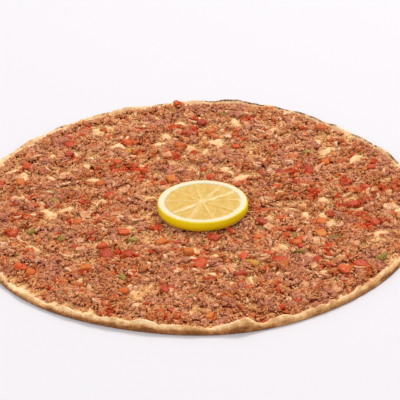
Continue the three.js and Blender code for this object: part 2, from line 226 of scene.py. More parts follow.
# %% Outline, crest and mince edge
OUTLINE_SWELLS = [(3, 0.5, -134), (4, 0.65, 112), (5, 0.8, 41), (7, 0.65, -48)]
CREST_SWELLS = [(1, 0.45, 180), (5, 0.2, 200), (13, 0.25, 75), (22, 0.25, 200), (34, 0.35, 310)]
MARGIN_SWELLS = [(1, 0.2, 165), (9, 0.3, 40), (17, 0.3, 120), (26, 0.25, 250), (41, 0.15, 10)]
MEAT_MARGIN = 1.3
MARGIN_BAYS = [(-137, 8, 2.4), (-126, 5, 1.2), (-117, 6, 2.2), (-108, 5, 1.5)]
BLISTERS = [  # angle, half width along the edge, rise, roll over the mince
    (-79, 6.8, 4.1, 2.0), (-87.5, 6, -0.9, 0), (-138, 24, -1.2, 0), (-101, 26, 0.6, 0.3),
    (76, 26, 1.0, 0.4), (23, 20, 0.4, 0.3), (157, 16, 0.4, 0.2),
]
NICK = (-73.6, 4, 1.4)  # angle, half width, depth


def swell(swells, angle):
    return sum(reach * np.sin(cycles * angle + math.radians(phase)) for cycles, reach, phase in swells)


def along_edge(angle, degrees):
    """How far along the bread's edge an angle lies from one place on it, in mm."""
    turn = angle - math.radians(degrees)
    return np.arctan2(np.sin(turn), np.cos(turn)) * BREAD_RADIUS


def rises(angle, rows):
    """The sum of soft rises on the edge. A row starts with angle, half width, reach."""
    total = 0
    for degrees, half, reach, *rest in rows:
        away = along_edge(angle, degrees) / half
        total = total + reach * np.exp(-away * away)
    return total


def bread_edge(angle):
    return BREAD_RADIUS + swell(OUTLINE_SWELLS, angle)


def crest_height(angle):
    return RIM_HEIGHT + swell(CREST_SWELLS, angle) + rises(angle, BLISTERS) - rises(angle, [NICK])


def crest_roll(angle):
    return rises(angle, [(degrees, half, roll) for degrees, half, rise, roll in BLISTERS])


def meat_edge(angle):
    margin = bread_edge(angle) - RIM_BAND - MEAT_MARGIN - swell(MARGIN_SWELLS, angle)
    return margin - rises(angle, MARGIN_BAYS)


def from_meat_edge(x, y):
    """How far inside the mince's edge a place lies."""
    return meat_edge(np.arctan2(y, x)) - np.hypot(x, y)


crest_all_round = crest_height(np.linspace(0, 2 * math.pi, 360))
print("crest from", crest_all_round.min().round(1), "to", crest_all_round.max().round(1), "mm")

# %% [markdown]
# Here and there the mince is thin and the dough swells up through it, pale as cream. These bare
# spots are the first thing that the eye picks out after the lemon. The larger ones stand where
# the solids have wells, and many small ones are strewn between them. At the rim the mince draws
# back in little bays. `bareness` is 1 in the middle of a spot and 0 in the mince, with a ragged
# edge.

# %% Bare spots in the mince
BARE_SPOTS = [  # x, y, half length, half width, heading in degrees
    (-94, -8, 9, 3.4, 120), (16, 85, 7, 4.5, 10), (-113, 42, 8, 3, 100), (31, 34, 6.5, 4, 60),
    (-67, 104, 6, 4, 107), (109, 58, 6.5, 3.4, 55), (-82, -4, 5, 3.4, 43), (115, -41, 5, 3.2, 20),
    (55, -55, 5, 2.6, 115), (90, 68, 9, 2.6, 67), (33, -93, 5, 2.4, 97), (-1, -67, 3.5, 2.8, 157),
    (29, 112, 5, 3.2, 74), (20, 47, 3.8, 3.2, 40), (-113, 12, 4.2, 2.8, 76),
    (-101, -51, 6.5, 2.4, 132), (8, 71, 4.2, 3, 86), (-86, 42, 5, 2.6, 58), (82, -17, 4, 2.8, 90),
    (-54, 80, 4.4, 2.8, 30), (56, 101, 4.6, 3.2, 174), (56, 13, 3.8, 2.7, 11),
]
SMALL_SPOTS = 175
SCATTER_RADIUS = 132.0
BAYS = [  # angle, distance in from the bread's edge, half depth, half width along the edge
    (-138, 6.5, 3.6, 3.2), (-127, 6, 3, 2.4), (-117, 6.2, 3.2, 2.6), (-112.5, 5.5, 2.4, 1.4),
    (-108, 5.8, 2.8, 2.2), (-104, 5.4, 2.2, 1.4), (-98.5, 5.6, 2.4, 1.6), (-92, 5.8, 2.6, 1.2),
    (-72, 5.6, 2.6, 1.8), (-61, 6, 3, 1.4), (-52, 6, 3, 2.2),
]
STREWN_BAYS = 40
BAY_ARC = (-46, 212)  # degrees between which more bays are strewn


def spot_shapes():
    """Every spot as x, y, half length, half width, heading."""
    shapes = [(*spot, math.radians(heading)) for *spot, heading in BARE_SPOTS]
    draw = seeded(71)
    for index in range(SMALL_SPOTS):
        radius = SCATTER_RADIUS * math.sqrt((index + next(draw)) / SMALL_SPOTS)
        angle = index * GOLDEN_ANGLE + next(draw)
        length = 1.7 + 3.2 * next(draw) ** 2
        width = length * (0.4 + 0.4 * next(draw))
        shapes.append((radius * math.cos(angle), radius * math.sin(angle), length, width,
                       next(draw) * math.pi))
    start, end = BAY_ARC
    strewn = [(start + (end - start) * (index + next(draw)) / STREWN_BAYS, 5.2 + 0.8 * next(draw),
               1.6 + 1.4 * next(draw), 1 + 1.6 * next(draw)) for index in range(STREWN_BAYS)]
    for degrees, inset, depth, width in BAYS + strewn:
        angle = math.radians(degrees)
        radius = bread_edge(angle) - inset
        shapes.append((radius * math.cos(angle), radius * math.sin(angle), depth, width, angle))
    return shapes


SPOTS = spot_shapes()


def from_oval(x, y, middle_x, middle_y, length, width, heading):
    """0 in the middle of a turned oval and 1 on its outline."""
    along = (x - middle_x) * math.cos(heading) + (y - middle_y) * math.sin(heading)
    across = (y - middle_y) * math.cos(heading) - (x - middle_x) * math.sin(heading)
    return np.hypot(along / length, across / width)


def bareness(x, y, inner=0.6, outer=1.2):
    closest = np.full(x.shape, 9.0)
    for spot in SPOTS:
        closest = np.minimum(closest, from_oval(x, y, *spot))
    ragged = 0.26 * noise(x, y, 2.6, 5) + 0.2 * noise(x, y, 1.3, 6)
    return 1 - smooth(closest + ragged, inner, outer)


print("bare spots:", len(SPOTS))

# %% [markdown]
# Small tools for the modelling itself. `start_piece` adds a primitive with nothing else
# selected. `settle` moves the vertices of a finished mesh by a rule, which is how a hand would
# press and pull dough all over at once. `paint` stores numbers on every vertex, which the
# materials read later as masks. `keep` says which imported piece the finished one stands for.

# %% Helpers for modelling
def start_piece(name, add, **how):
    if bpy.context.object and bpy.context.object.mode == "EDIT":
        bpy.ops.object.mode_set(mode="OBJECT")
    bpy.ops.object.select_all(action="DESELECT")
    add(**how)
    piece = bpy.context.object
    piece.name = name
    piece.data.name = name
    return piece


def places(piece):
    flat = np.empty(len(piece.data.vertices) * 3, dtype=np.float32)
    piece.data.vertices.foreach_get("co", flat)
    return flat.reshape(-1, 3).astype(float) / MM


def settle(piece, points):
    piece.data.vertices.foreach_set("co", (points * MM).astype(np.float32).ravel())
    piece.data.update()


def paint(piece, **masks):
    for name, values in masks.items():
        layer = piece.data.attributes.new(name, "FLOAT", "POINT")
        layer.data.foreach_set("value", np.asarray(values, dtype=np.float32))


def lay_map(piece, across, up):
    """A map for the surface, from 0 to 1, given per vertex."""
    corners = np.empty(len(piece.data.loops), dtype=np.int32)
    piece.data.loops.foreach_get("vertex_index", corners)
    layer = piece.data.uv_layers.new(name="OFBake")
    layer.data.foreach_set("uv", np.stack([across[corners], up[corners]], 1).astype(np.float32).ravel())


def smooth_shade(piece, degrees=60):
    bpy.ops.object.select_all(action="DESELECT")
    piece.select_set(True)
    bpy.context.view_layer.objects.active = piece
    bpy.ops.object.shade_smooth_by_angle(angle=math.radians(degrees))


def keep(piece, node):
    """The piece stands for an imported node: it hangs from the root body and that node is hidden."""
    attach(piece, "root")
    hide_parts(node)
    triangles = sum(len(face.vertices) - 2 for face in piece.data.polygons)
    print(piece.name, "has", triangles, "triangles")


# %% [markdown]
# The bread is a disc with a low rolled rim. A baker's rim could be a lathe shape, but the
# surface has to follow the blistered crest, so we draw one ring of the flat underside, extrude
# it ring by ring up the flank, over the crest and in across the floor, and close both ends.
# After that each vertex settles to the crest's true height at its own angle.

# %% Section of the rim
RIM_STEPS = 4  # rings between two points of the section


def rim_section(angle):
    """Points from the underside's edge to the inner foot: distance in from the edge, height."""
    crest = crest_height(angle)
    inset = CREST_INSET + crest_roll(angle) * 0.5
    flat = np.zeros_like(crest)
    return np.array([
        [flat + UNDERSIDE_INSET, flat],
        [flat + 0.4, flat + 0.5],
        [flat, crest * 0.42],
        [flat + 0.3, crest * 0.78],
        [inset, crest],
        [inset + 1.3, DOUGH_TOP + (crest - DOUGH_TOP) * 0.6],
        [flat + RIM_BAND, flat + DOUGH_TOP],
    ])


def rounded(points, steps):
    """A smooth curve through the points, each stretch cut into steps."""
    padded = np.concatenate([points[:1], points, points[-1:]])
    curve = []
    for k in range(len(points) - 1):
        before, start, end, after = padded[k:k + 4]
        for step in range(steps):
            t = step / steps
            curve.append(0.5 * (2 * start + (end - before) * t
                                + (2 * before - 5 * start + 4 * end - after) * t ** 2
                                + (3 * start - before - 3 * end + after) * t ** 3))
    curve.append(points[-1])
    return np.array(curve)


mean_section = rounded(rim_section(np.array(2.0)), RIM_STEPS)
print("rings in the rim:", len(mean_section))

# %% [markdown]
# A circle of the underside's size is extruded from ring to ring and scaled each time to the
# next ring's radius. Such a shell has two open ends. A solid round gets a face over each end,
# and a hoop, like the lemon's rind, has its two ends bridged. `draw_rings` does both. The
# underside's face also gets an inset ring, so that the flat underside begins behind the rounded
# edge.

# %% The bread's rings
BREAD_COLUMNS = 840
FLOOR_RINGS = 54
BASE_INSET = 6  # mm


def ring_to(radius, height, was_radius, was_height):
    """Extrudes the selected ring to a new radius and height."""
    bpy.ops.mesh.extrude_edges_move(TRANSFORM_OT_translate={"value": (0, 0, (height - was_height) * MM)})
    share = radius / was_radius
    bpy.ops.transform.resize(value=(share, share, 1), center_override=(0, 0, 0))


def draw_rings(name, rings, columns, bridged=False, base_inset=0):
    """A piece of rings of (radius, height), with its ends bridged or closed by a face each."""
    piece = start_piece(name, bpy.ops.mesh.primitive_circle_add, vertices=columns,
                        radius=rings[0][0] * MM, fill_type="NOTHING", enter_editmode=True)
    bpy.ops.transform.translate(value=(0, 0, rings[0][1] * MM))
    for (was_radius, was_height), (radius, height) in zip(rings, rings[1:]):
        ring_to(radius, height, was_radius, was_height)
    if not bridged:
        bpy.ops.mesh.edge_face_add()
    bpy.ops.mesh.select_all(action="DESELECT")
    bpy.ops.mesh.select_non_manifold()
    if bridged:
        bpy.ops.mesh.bridge_edge_loops()
    else:
        bpy.ops.mesh.edge_face_add()
    if base_inset:
        bpy.ops.mesh.inset(thickness=base_inset * MM)
    bpy.ops.mesh.select_all(action="SELECT")
    bpy.ops.mesh.normals_make_consistent(inside=False)
    bpy.ops.object.mode_set(mode="OBJECT")
    return piece


ring_places = [(BREAD_RADIUS - inset, height) for inset, height in mean_section]
foot_radius = ring_places[-1][0]
ring_places += [(foot_radius * (1 - (k + 1) / (FLOOR_RINGS + 1)), DOUGH_TOP) for k in range(FLOOR_RINGS)]
bread = draw_rings("bread", ring_places, BREAD_COLUMNS, base_inset=BASE_INSET)
print("bread vertices:", len(bread.data.vertices))

# %% [markdown]
# Now the dough settles. Each vertex finds its ring by its place, takes that ring's true inset
# and height at its own angle, and is then lifted or pressed by noise: broad dents, small
# bubbles on the rim, and a swelling wherever the mince leaves the dough bare.

# %% Settle the dough
LUMP_SIZES = (9.0, 4.5, 2.2)  # mm along the edge
PUFF_SIZES = (8.0, 4.2, 1.9)
BARE_SWELLING = 2.1  # mm that the dough stands up in a bare spot
RIM_FROM = 138  # mm from the middle, where the floor ends and the rim's unevenness begins


def rim_lumps(angle, up, sizes, seed):
    """Unevenness of several sizes round the rim."""
    return [round_noise(angle, BREAD_RADIUS, up, size, seed + number) for number, size in enumerate(sizes)]


def settle_bread(piece):
    x, y, z = places(piece).T
    angle, radius = np.arctan2(y, x), np.hypot(x, y)
    rings = np.array(ring_places)
    ring = np.argmin((radius[:, None] - rings[:, 0]) ** 2 + (z[:, None] - rings[:, 1]) ** 2, axis=1)
    below = (z < 0.01) & (radius < rings[0, 0] - 1)
    section = rounded(rim_section(angle), RIM_STEPS)
    on_rim = (ring < len(section)) & ~below
    here = np.minimum(ring, len(section) - 1)
    inset, height = section[here, :, np.arange(len(ring))].T
    radius = np.where(on_rim, bread_edge(angle) - inset,
                      radius + swell(OUTLINE_SWELLS, angle) * radius / BREAD_RADIUS)
    z = np.where(on_rim, height, z)
    rim_share = smooth(z, 0.3, 2.0) * smooth(radius, RIM_FROM, RIM_FROM + 4)
    lumps = rim_lumps(angle, radius + z, LUMP_SIZES, 21)
    radius = radius + rim_share * (0.3 * lumps[0] + 0.25 * lumps[1] + 0.14 * lumps[2] - 0.35)
    puffs = [np.abs(lump) - 0.33 for lump in rim_lumps(angle, radius * 0.5, PUFF_SIZES, 25)]
    crown = smooth(z, 1.5, 4.2) * smooth(radius, RIM_FROM + 1, RIM_FROM + 4)
    radius = radius - crown * (1.2 * puffs[0] + 0.6 * puffs[1])
    z = z + crown * (1.5 * puffs[0] + 0.8 * puffs[1]) + 0.4 * rim_share * puffs[2]
    x, y = radius * np.cos(angle), radius * np.sin(angle)
    on_floor = (ring >= len(section) - 1) & ~below
    swollen = (BARE_SWELLING * bareness(x, y, 0.1, 1.1) + 0.2 * noise(x, y, 5, 28)
               + 0.26 * noise(x, y, 2.2, 29))
    z = z + np.where(on_floor, swollen * smooth(RIM_FROM - radius, 0, 4), 0)
    settle(piece, np.stack([x, y, z], 1))
    return ring, below


bread_ring, bread_below = settle_bread(bread)
smooth_shade(bread)
print("bread height:", places(bread)[:, 2].max().round(2), "mm")

# %% [markdown]
# Where heat touched the dough it browned: gold on the crest, brown down the flank, and scorched
# in a few specks and along the far edge, which lay nearest the fire. Dough under and beside the
# mince stayed pale, and the strip next to the mince is stained by its orange juice. Towards the
# far side that stain is painted fainter, as painted light, since the strip there faces away from
# the lamp. We paint these as masks on the vertices and let the material turn them into colour.
# `toast` is how brown the dough is, `char` where it scorched, `juice` where it is stained and,
# on the far side, painted lighter, and `leopard` the spots of the `underside`, which lay on the
# hot stone.

# %% Paint the baking on the dough
BLOTCHES = [(0.2, 12, 3), (0.18, 6, 4), (0.12, 2.5, 2.5)]  # strength, mm along the edge, flattening
SCORCHED_ARCS = [  # angle, half length, strength
    (80.5, 18, 1.4), (71, 4, 1.0), (65, 7, 1.2), (58.5, 5, 1.0), (53, 7, 1.0), (47, 5, 1.1), (39.5, 7, 0.95),
    (32, 11, 0.95), (22, 9, 1.0), (99, 3, 0.7), (108, 4, 0.6), (116, 9, 0.6), (130, 6, 0.6), (146, 9, 0.6),
]
BROWN_ARCS = [(-110, 36, 0.12), (-62, 46, -0.14)]  # darker, or paler below 0
SCORCHED_SPECKS = [  # angle, height on the flank, half length
    (-125.9, 0.6, 1.3), (-109.5, 0.7, 1.0), (-142.7, 0.75, 2.2), (-78.6, 0.35, 1.3), (-60, 0.5, 0.9),
    (150, 0.7, 1.4), (-168, 0.6, 1.5), (5, 0.8, 1.6), (100, 0.8, 1.8), (176, 0.7, 1.2), (-20, 0.6, 1.4),
    (-38, 0.4, 1.0), (-97, 0.5, 0.7),
]
CREST_RING = 4 * RIM_STEPS  # the section's fifth point is the crest


def paint_bread(piece):
    x, y, z = places(piece).T
    angle, radius = np.arctan2(y, x), np.hypot(x, y)
    inset = bread_edge(angle) - radius
    crest = crest_height(angle)
    share = np.clip(z / crest, 0, 1)
    blotch = sum(reach * round_noise(angle, BREAD_RADIUS, z * flat, size, 31 + number)
                 for number, (reach, size, flat) in enumerate(BLOTCHES))
    browner = rises(angle, BROWN_ARCS)
    # The flank grows darker towards its foot, and the last term adds a thin darker line at the foot itself.
    flank = 0.17 + (0.6 + 1.6 * browner) * smooth(1 - share, 0.04, 0.6) + 0.12 * (1 - share)
    flank = flank + 0.8 * blotch + 0.12 * smooth(1.3 - z, 0, 1.1)
    inside = (0.08 + 0.7 * blotch) * smooth(6.2 - inset, 0, 3.5) + 0.14 * smooth(inset, 3.5, 7)
    toast = np.where(bread_ring <= CREST_RING, flank, inside)
    arcs = rises(angle, SCORCHED_ARCS) * smooth(bread_ring, 8, 11) * smooth(20.5 - bread_ring, 0, 2)
    ragged = (0.35 * round_noise(angle, BREAD_RADIUS, inset * 2, 3.2, 34)
              + 0.25 * round_noise(angle, BREAD_RADIUS, inset * 2, 1.3, 35))
    char = smooth(arcs + ragged, 0.45, 0.85)
    for degrees, height, half in SCORCHED_SPECKS:
        away = along_edge(angle, degrees) / half
        speck = 1 - np.hypot(away, (z - height * crest) / (0.7 * half)) + ragged
        char = np.maximum(char, 0.9 * smooth(speck, 0, 0.5) * (inset < 3))
    juice = smooth(-from_meat_edge(x, y), 2.4, -1.0) * (0.6 + 0.45 * noise(x, y, 6, 36))
    # The stain fades towards the far side: painted light, which keeps the far inner strip pale though it
    # faces away from the lamp.
    juice = juice * (1 - 0.8 * bareness(x, y, 0.6, 1.3)) * (1 - 0.75 * smooth(y, 20, 90))
    under = (z < 0.35) & (inset > 2.5)
    leopard = smooth(noise(x, y, 16, 37) + 0.6 * noise(x, y, 6, 38), 0.1, 0.8) * under
    paint(piece, toast=toast, char=char, juice=np.clip(juice, 0, 1) * (z > 1),
          underside=under * 1.0, leopard=leopard)


paint_bread(bread)
print("painted:", [layer.name for layer in bread.data.attributes if layer.data_type == "FLOAT"])

# %% [markdown]
# The colours can be baked into a picture later, so every part of the surface needs a place of
# its own on a map. The top lies in the left half as seen from above, with the flank unrolled
# outward round it, and the underside lies in the right half.

# %% A map for the bread
MAP_GAP = 3  # mm left free between two parts of the map


def map_bread(piece):
    x, y, z = places(piece).T
    angle, radius = np.arctan2(y, x), np.hypot(x, y)
    steps = np.hypot(*np.diff(mean_section, axis=0).T)
    unrolled = foot_radius + np.concatenate([np.cumsum(steps[::-1])[::-1], [0]])
    on_rim = (bread_ring < len(unrolled)) & ~bread_below
    spread = np.where(on_rim, unrolled[np.minimum(bread_ring, len(unrolled) - 1)], radius)
    whole = unrolled[0] + MAP_GAP
    across = 0.25 + 0.25 * spread * np.cos(angle) / whole + np.where(bread_below, 0.5, 0)
    lay_map(piece, across, 0.5 + 0.5 * spread * np.sin(angle) / whole)


map_bread(bread)
print("maps:", [layer.name for layer in bread.data.uv_layers])

# %% [markdown]
# Several finishes need the same fine mottling, so it becomes a shader node group: two noises of
# different size, mixed into one value that serves as a shade and as a bump's height. A group
# gives out only numbers. The Principled shader stays in each material, where it can be read
# later.

# %% Node helpers and the mottling group
def add_node(tree, kind, values=(), **settings):
    node = tree.nodes.new(kind)
    for name, value in settings.items():
        setattr(node, name, value)
    for name, value in dict(values).items():
        node.inputs[name].default_value = value
    return node


def make_mottle():
    group = bpy.data.node_groups.new("mottle", "ShaderNodeTree")
    for name, value in (("Coarse", 400.0), ("Fine", 1500.0), ("Balance", 0.5)):
        socket = group.interface.new_socket(name, in_out="INPUT", socket_type="NodeSocketFloat")
        socket.default_value = value
    group.interface.new_socket("Vector", in_out="INPUT", socket_type="NodeSocketVector")
    group.interface.new_socket("Value", in_out="OUTPUT", socket_type="NodeSocketFloat")
    inside = add_node(group, "NodeGroupInput")
    coarse = add_node(group, "ShaderNodeTexNoise", {"Detail": 3.0, "Roughness": 0.6})
    fine = add_node(group, "ShaderNodeTexNoise", {"Detail": 2.0, "Roughness": 0.6})
    mix = add_node(group, "ShaderNodeMix", data_type="FLOAT")
    outside = add_node(group, "NodeGroupOutput")
    link = group.links.new
    link(inside.outputs["Vector"], coarse.inputs["Vector"])
    link(inside.outputs["Vector"], fine.inputs["Vector"])
    link(inside.outputs["Coarse"], coarse.inputs["Scale"])
    link(inside.outputs["Fine"], fine.inputs["Scale"])
    link(inside.outputs["Balance"], mix.inputs["Factor"])
    link(coarse.outputs["Fac"], mix.inputs["A"])
    link(fine.outputs["Fac"], mix.inputs["B"])
    link(mix.outputs["Result"], outside.inputs["Value"])
    return group


MOTTLE = make_mottle()
print("group sockets:", [item.name for item in MOTTLE.interface.items_tree])

# %% [markdown]
# A finish is then a short recipe. `Finish` starts a material with a Principled shader and
# offers the few steps that every recipe uses: reading a painted mask, mottling, a ramp of
# colours, laying one colour over another by a mask, and a bump. A Mix node holds sockets for
# numbers, vectors and colours side by side, so its colour sockets are found by their number.

# %% A small kit for finishes
MIX_UNDER, MIX_OVER, MIX_RESULT = 6, 7, 2


class Finish:
    def __init__(self, name, **plain):
        self.material = bpy.data.materials.new(name)
        self.material.use_nodes = True
        self.tree = self.material.node_tree
        self.link = self.tree.links.new
        self.shader = self.tree.nodes["Principled BSDF"]
        self.where = add_node(self.tree, "ShaderNodeTexCoord").outputs["Object"]
        for socket, value in plain.items():
            self.shader.inputs[socket.replace("_", " ")].default_value = value

    def mask(self, name):
        return add_node(self.tree, "ShaderNodeAttribute", attribute_name=name).outputs["Fac"]

    def mottle(self, coarse, fine, balance=0.5):
        node = add_node(self.tree, "ShaderNodeGroup", node_tree=MOTTLE)
        for name, value in (("Coarse", coarse), ("Fine", fine), ("Balance", balance)):
            node.inputs[name].default_value = value
        self.link(self.where, node.inputs["Vector"])
        return node.outputs["Value"]

    def stretch(self, value, low, high, to_low=0.0, to_high=1.0):
        node = add_node(self.tree, "ShaderNodeMapRange", {
            "From Min": low, "From Max": high, "To Min": to_low, "To Max": to_high})
        self.link(value, node.inputs["Value"])
        return node.outputs["Result"]

    def maths(self, operation, first, second):
        node = add_node(self.tree, "ShaderNodeMath", operation=operation)
        for socket, value in zip(node.inputs, (first, second)):
            if isinstance(value, (int, float)):
                socket.default_value = value
            else:
                self.link(value, socket)
        return node.outputs["Value"]

    def ramp(self, value, stops):
        node = add_node(self.tree, "ShaderNodeValToRGB")
        ramp = node.color_ramp
        while len(ramp.elements) < len(stops):
            ramp.elements.new(0.5)
        for element, (place, colour) in zip(ramp.elements, stops):
            element.position = place
            element.color = tint(colour)
        self.link(value, node.inputs["Fac"])
        return node.outputs["Color"]

    def over(self, mask, colour, under):
        node = add_node(self.tree, "ShaderNodeMix", data_type="RGBA")
        self.link(mask, node.inputs["Factor"])
        for socket, value in ((node.inputs[MIX_UNDER], under), (node.inputs[MIX_OVER], colour)):
            if isinstance(value, tuple):
                socket.default_value = tint(value)
            else:
                self.link(value, socket)
        return node.outputs[MIX_RESULT]

    def colour(self, value):
        self.link(value, self.shader.inputs["Base Color"])

    def roughness(self, value):
        self.link(value, self.shader.inputs["Roughness"])

    def bump(self, height, distance, strength=1.0):
        node = add_node(self.tree, "ShaderNodeBump", {"Strength": strength, "Distance": distance * MM})
        self.link(height, node.inputs["Height"])
        self.link(node.outputs["Normal"], self.shader.inputs["Normal"])

    def give(self, piece):
        piece.data.materials.clear()
        piece.data.materials.append(self.material)


def tint(colour):
    """A colour as seen on a screen, from 0 to 255, as the linear one that shaders use."""
    part = np.array(colour[:3]) / 255
    linear = np.where(part <= 0.04045, part / 12.92, ((part + 0.055) / 1.055) ** 2.4)
    return (*map(float, linear), 1.0)


print("cream in linear light:", [round(v, 3) for v in tint((246, 226, 190))[:3]])

# %% [markdown]
# The plainest finish comes first: a pale matt table, with nearly no reflection, that leaves the
# food its colours.

# %% Finish of the table
table_finish = Finish("table", Base_Color=tint((221, 218, 221)), Roughness=0.9, Specular_IOR_Level=0.1)
table_finish.give(table)
print("table finish:", table.data.materials[0].name)

# %% [markdown]
# Baked dough is matt and slightly floury. Its colour runs from cream through gold to brown as
# the toast mask rises. The juice stain, the spotted underside and the scorched specks are then
# laid over that in turn. A mottling breaks up the scorch, since dough chars in flecks.

# %% Finish of the dough
DOUGH_SHADES = [(0.0, (248, 216, 172)), (0.16, (240, 197, 144)), (0.3, (226, 175, 119)),
                (0.5, (206, 149, 94)), (0.75, (168, 110, 64)), (1.0, (128, 80, 44))]
JUICE_STAIN = (218, 156, 92)
UNDERSIDE_DOUGH = (226, 190, 144)
LEOPARD_SPOT = (150, 94, 52)
CHAR = (86, 46, 24)


def dough_finish():
    dough = Finish("baked_dough", Roughness=0.8, Specular_IOR_Level=0.05, Subsurface_Weight=0.08,
                   Subsurface_Scale=0.002)
    grain = dough.mottle(260, 1400)
    toast = dough.maths("ADD", dough.mask("toast"), dough.stretch(grain, 0.3, 0.7, -0.34, 0.34))
    colour = dough.ramp(toast, DOUGH_SHADES)
    stain = dough.stretch(dough.mottle(180, 700), 0.38, 0.62, 0.35, 0.95)
    colour = dough.over(dough.maths("MULTIPLY", dough.mask("juice"), stain), JUICE_STAIN, colour)
    colour = dough.over(dough.mask("underside"), UNDERSIDE_DOUGH, colour)
    colour = dough.over(dough.mask("leopard"), LEOPARD_SPOT, colour)
    flecked = dough.stretch(dough.mottle(420, 1500), 0.4, 0.56, 0.3, 1.0)
    colour = dough.over(dough.maths("MULTIPLY", dough.mask("char"), flecked), CHAR, colour)
    dough.colour(colour)
    dough.bump(dough.mottle(320, 1100, 0.45), 0.9, 0.8)
    return dough


dough_finish().give(bread)
keep(bread, "flatbread")

# %% [markdown]
# The mince is the hard part. From a step away it reads as crumbly clumps with dark crannies
# between them and thin orange places where hardly any meat lies. One sheet with bumps looks
# like gravel, and loose crumbs alone look like beads. So it gets three layers: a core sheet that
# carries the swells, knobbly clumps sunk into it, and small crumbs that fill what is between.
# `meat_height` is the top of the core. It dips under the dough wherever a spot is bare.

# %% Height of the mince
HEAPS = [(-13.5, 131, 6, 5), (-58, -24, 12, 0.8), (70, 16, 14, 0.7), (40, -120, 11, 0.7)]
CLUMP_RELIEF = 0.9
EDGE_TAPER = 6.0
EDGE_THICKNESS = 0.45
CRUMB_ROOM = 1.0  # how far the core lies below the mean surface, to leave room for crumbs
THINNED = 0.62  # share of the thickness that a thin place lacks
WAVES = 12  # slow waves that add up to the mince's swells
COARSE_CRUMBS, FINE_CRUMBS = (2.7, 41), (1.5, 45)  # mm across, seed
CORE_FLOOR = 0.15  # mm, the least that the core stands above the dough
LEMON_GAP = 0.35  # mm left between the mince and the slice


def clumps(x, y):
    total = np.zeros_like(x)
    for i in range(WAVES):
        heading = i * GOLDEN_ANGLE
        length = 10 + i * 1.3
        total += np.cos((math.cos(heading) * x + math.sin(heading) * y) * 2 * math.pi / length + i * i * 0.7)
    return total / math.sqrt(WAVES * 1.4)


def lemon_floor(x, y):
    """Height of the slice's underside above a place."""
    return LEMON_UNDERSIDE - (y - LEMON_CENTRE[1]) * math.tan(LEMON_TILT)


def from_lemon(x, y):
    return np.hypot(x - LEMON_CENTRE[0], y - LEMON_CENTRE[1])


def meat_level(x, y):
    """The mean surface of the mince, as the solids have it."""
    heaped = sum(rise * np.exp(-((x - heap_x) ** 2 + (y - heap_y) ** 2) / half ** 2)
                 for heap_x, heap_y, half, rise in HEAPS)
    taper = smooth(from_meat_edge(x, y), -1, EDGE_TAPER)
    share = EDGE_THICKNESS + (1 - EDGE_THICKNESS) * taper
    return DOUGH_TOP + (MEAT_THICKNESS + CLUMP_RELIEF * clumps(x, y) + heaped) * share


def thinness(x, y):
    """1 where only a film lies between clumps or round a bare spot, 0 on the clumps."""
    patchy = noise(x, y, 8, 81) + 0.8 * noise(x, y, 4.4, 82) + 0.35 * noise(x, y, 2.2, 83)
    return np.maximum(smooth(patchy, 0.2, 0.6), bareness(x, y, 0.9, 2.1))


def meat_height(x, y, crumbs=True):
    thin = thinness(x, y)
    height = (meat_level(x, y) - DOUGH_TOP) * (1 - THINNED * thin) - CRUMB_ROOM
    if crumbs:
        coarse, coarse_own = cells(x, y, *COARSE_CRUMBS)
        fine = cells(x, y, *FINE_CRUMBS)[0]
        relief = 0.95 * (0.45 - coarse) + 0.7 * (coarse_own - 0.5) + 0.4 * (0.45 - fine)
        pits = 0.8 * smooth(noise(x, y, 3.4, 48), 0.25, 0.75)
        height = height + (relief - pits) * (1 - 0.6 * thin)
    height = np.maximum(height, CORE_FLOOR)
    bare = bareness(x, y)
    height = height * (1 - bare) - 0.8 * bare - 3 * smooth(-from_meat_edge(x, y), -0.6, 1.2)
    top = DOUGH_TOP + height
    under_lemon = from_lemon(x, y) < LEMON_RADIUS + 0.6
    return np.where(under_lemon, np.minimum(top, lemon_floor(x, y) - LEMON_GAP), top)


probe = meat_height(np.array([60.0, -60.0]), np.array([60.0, 90.0]))
print("core stands at", probe.round(2), "mm")

# %% [markdown]
# The core could be a disc of rings like the bread, but rings crowd together in the middle. An
# even grid gives every crumb the same fineness. We cut the grid to the outline of the mince,
# extrude its edge down into a skirt, close the bottom, and let the top settle to its height.

# %% The mince core
CORE_CUTS = 342
CORE_REACH = 142.5
CORE_BOTTOM = 2.4

core = start_piece("mince_core", bpy.ops.mesh.primitive_grid_add, x_subdivisions=CORE_CUTS,
                   y_subdivisions=CORE_CUTS, size=2 * CORE_REACH * MM, enter_editmode=True)
bpy.ops.mesh.select_all(action="DESELECT")
bpy.ops.object.mode_set(mode="OBJECT")
grid = places(core)
core.data.vertices.foreach_set("select", from_meat_edge(grid[:, 0], grid[:, 1]) < -1.2)
bpy.ops.object.mode_set(mode="EDIT")
bpy.ops.mesh.delete(type="VERT")
bpy.ops.mesh.select_all(action="DESELECT")
bpy.ops.mesh.select_non_manifold()
bpy.ops.mesh.extrude_edges_move(TRANSFORM_OT_translate={"value": (0, 0, -1 * MM)})
bpy.ops.mesh.edge_face_add()
bpy.ops.mesh.select_all(action="SELECT")
bpy.ops.mesh.normals_make_consistent(inside=False)
bpy.ops.object.mode_set(mode="OBJECT")

grid = places(core)
core_top = np.maximum(meat_height(grid[:, 0], grid[:, 1]), CORE_BOTTOM + 0.1)
settle(core, np.stack([grid[:, 0], grid[:, 1], np.where(grid[:, 2] < -0.5, CORE_BOTTOM, core_top)], 1))
smooth_shade(core, 75)
print("core stands from", CORE_BOTTOM, "to", core_top.max().round(2), "mm")

# %% [markdown]
# The diced pieces that catch the eye are listed by kind, each by its place. They come this early
# because their juice colours the mince round them.

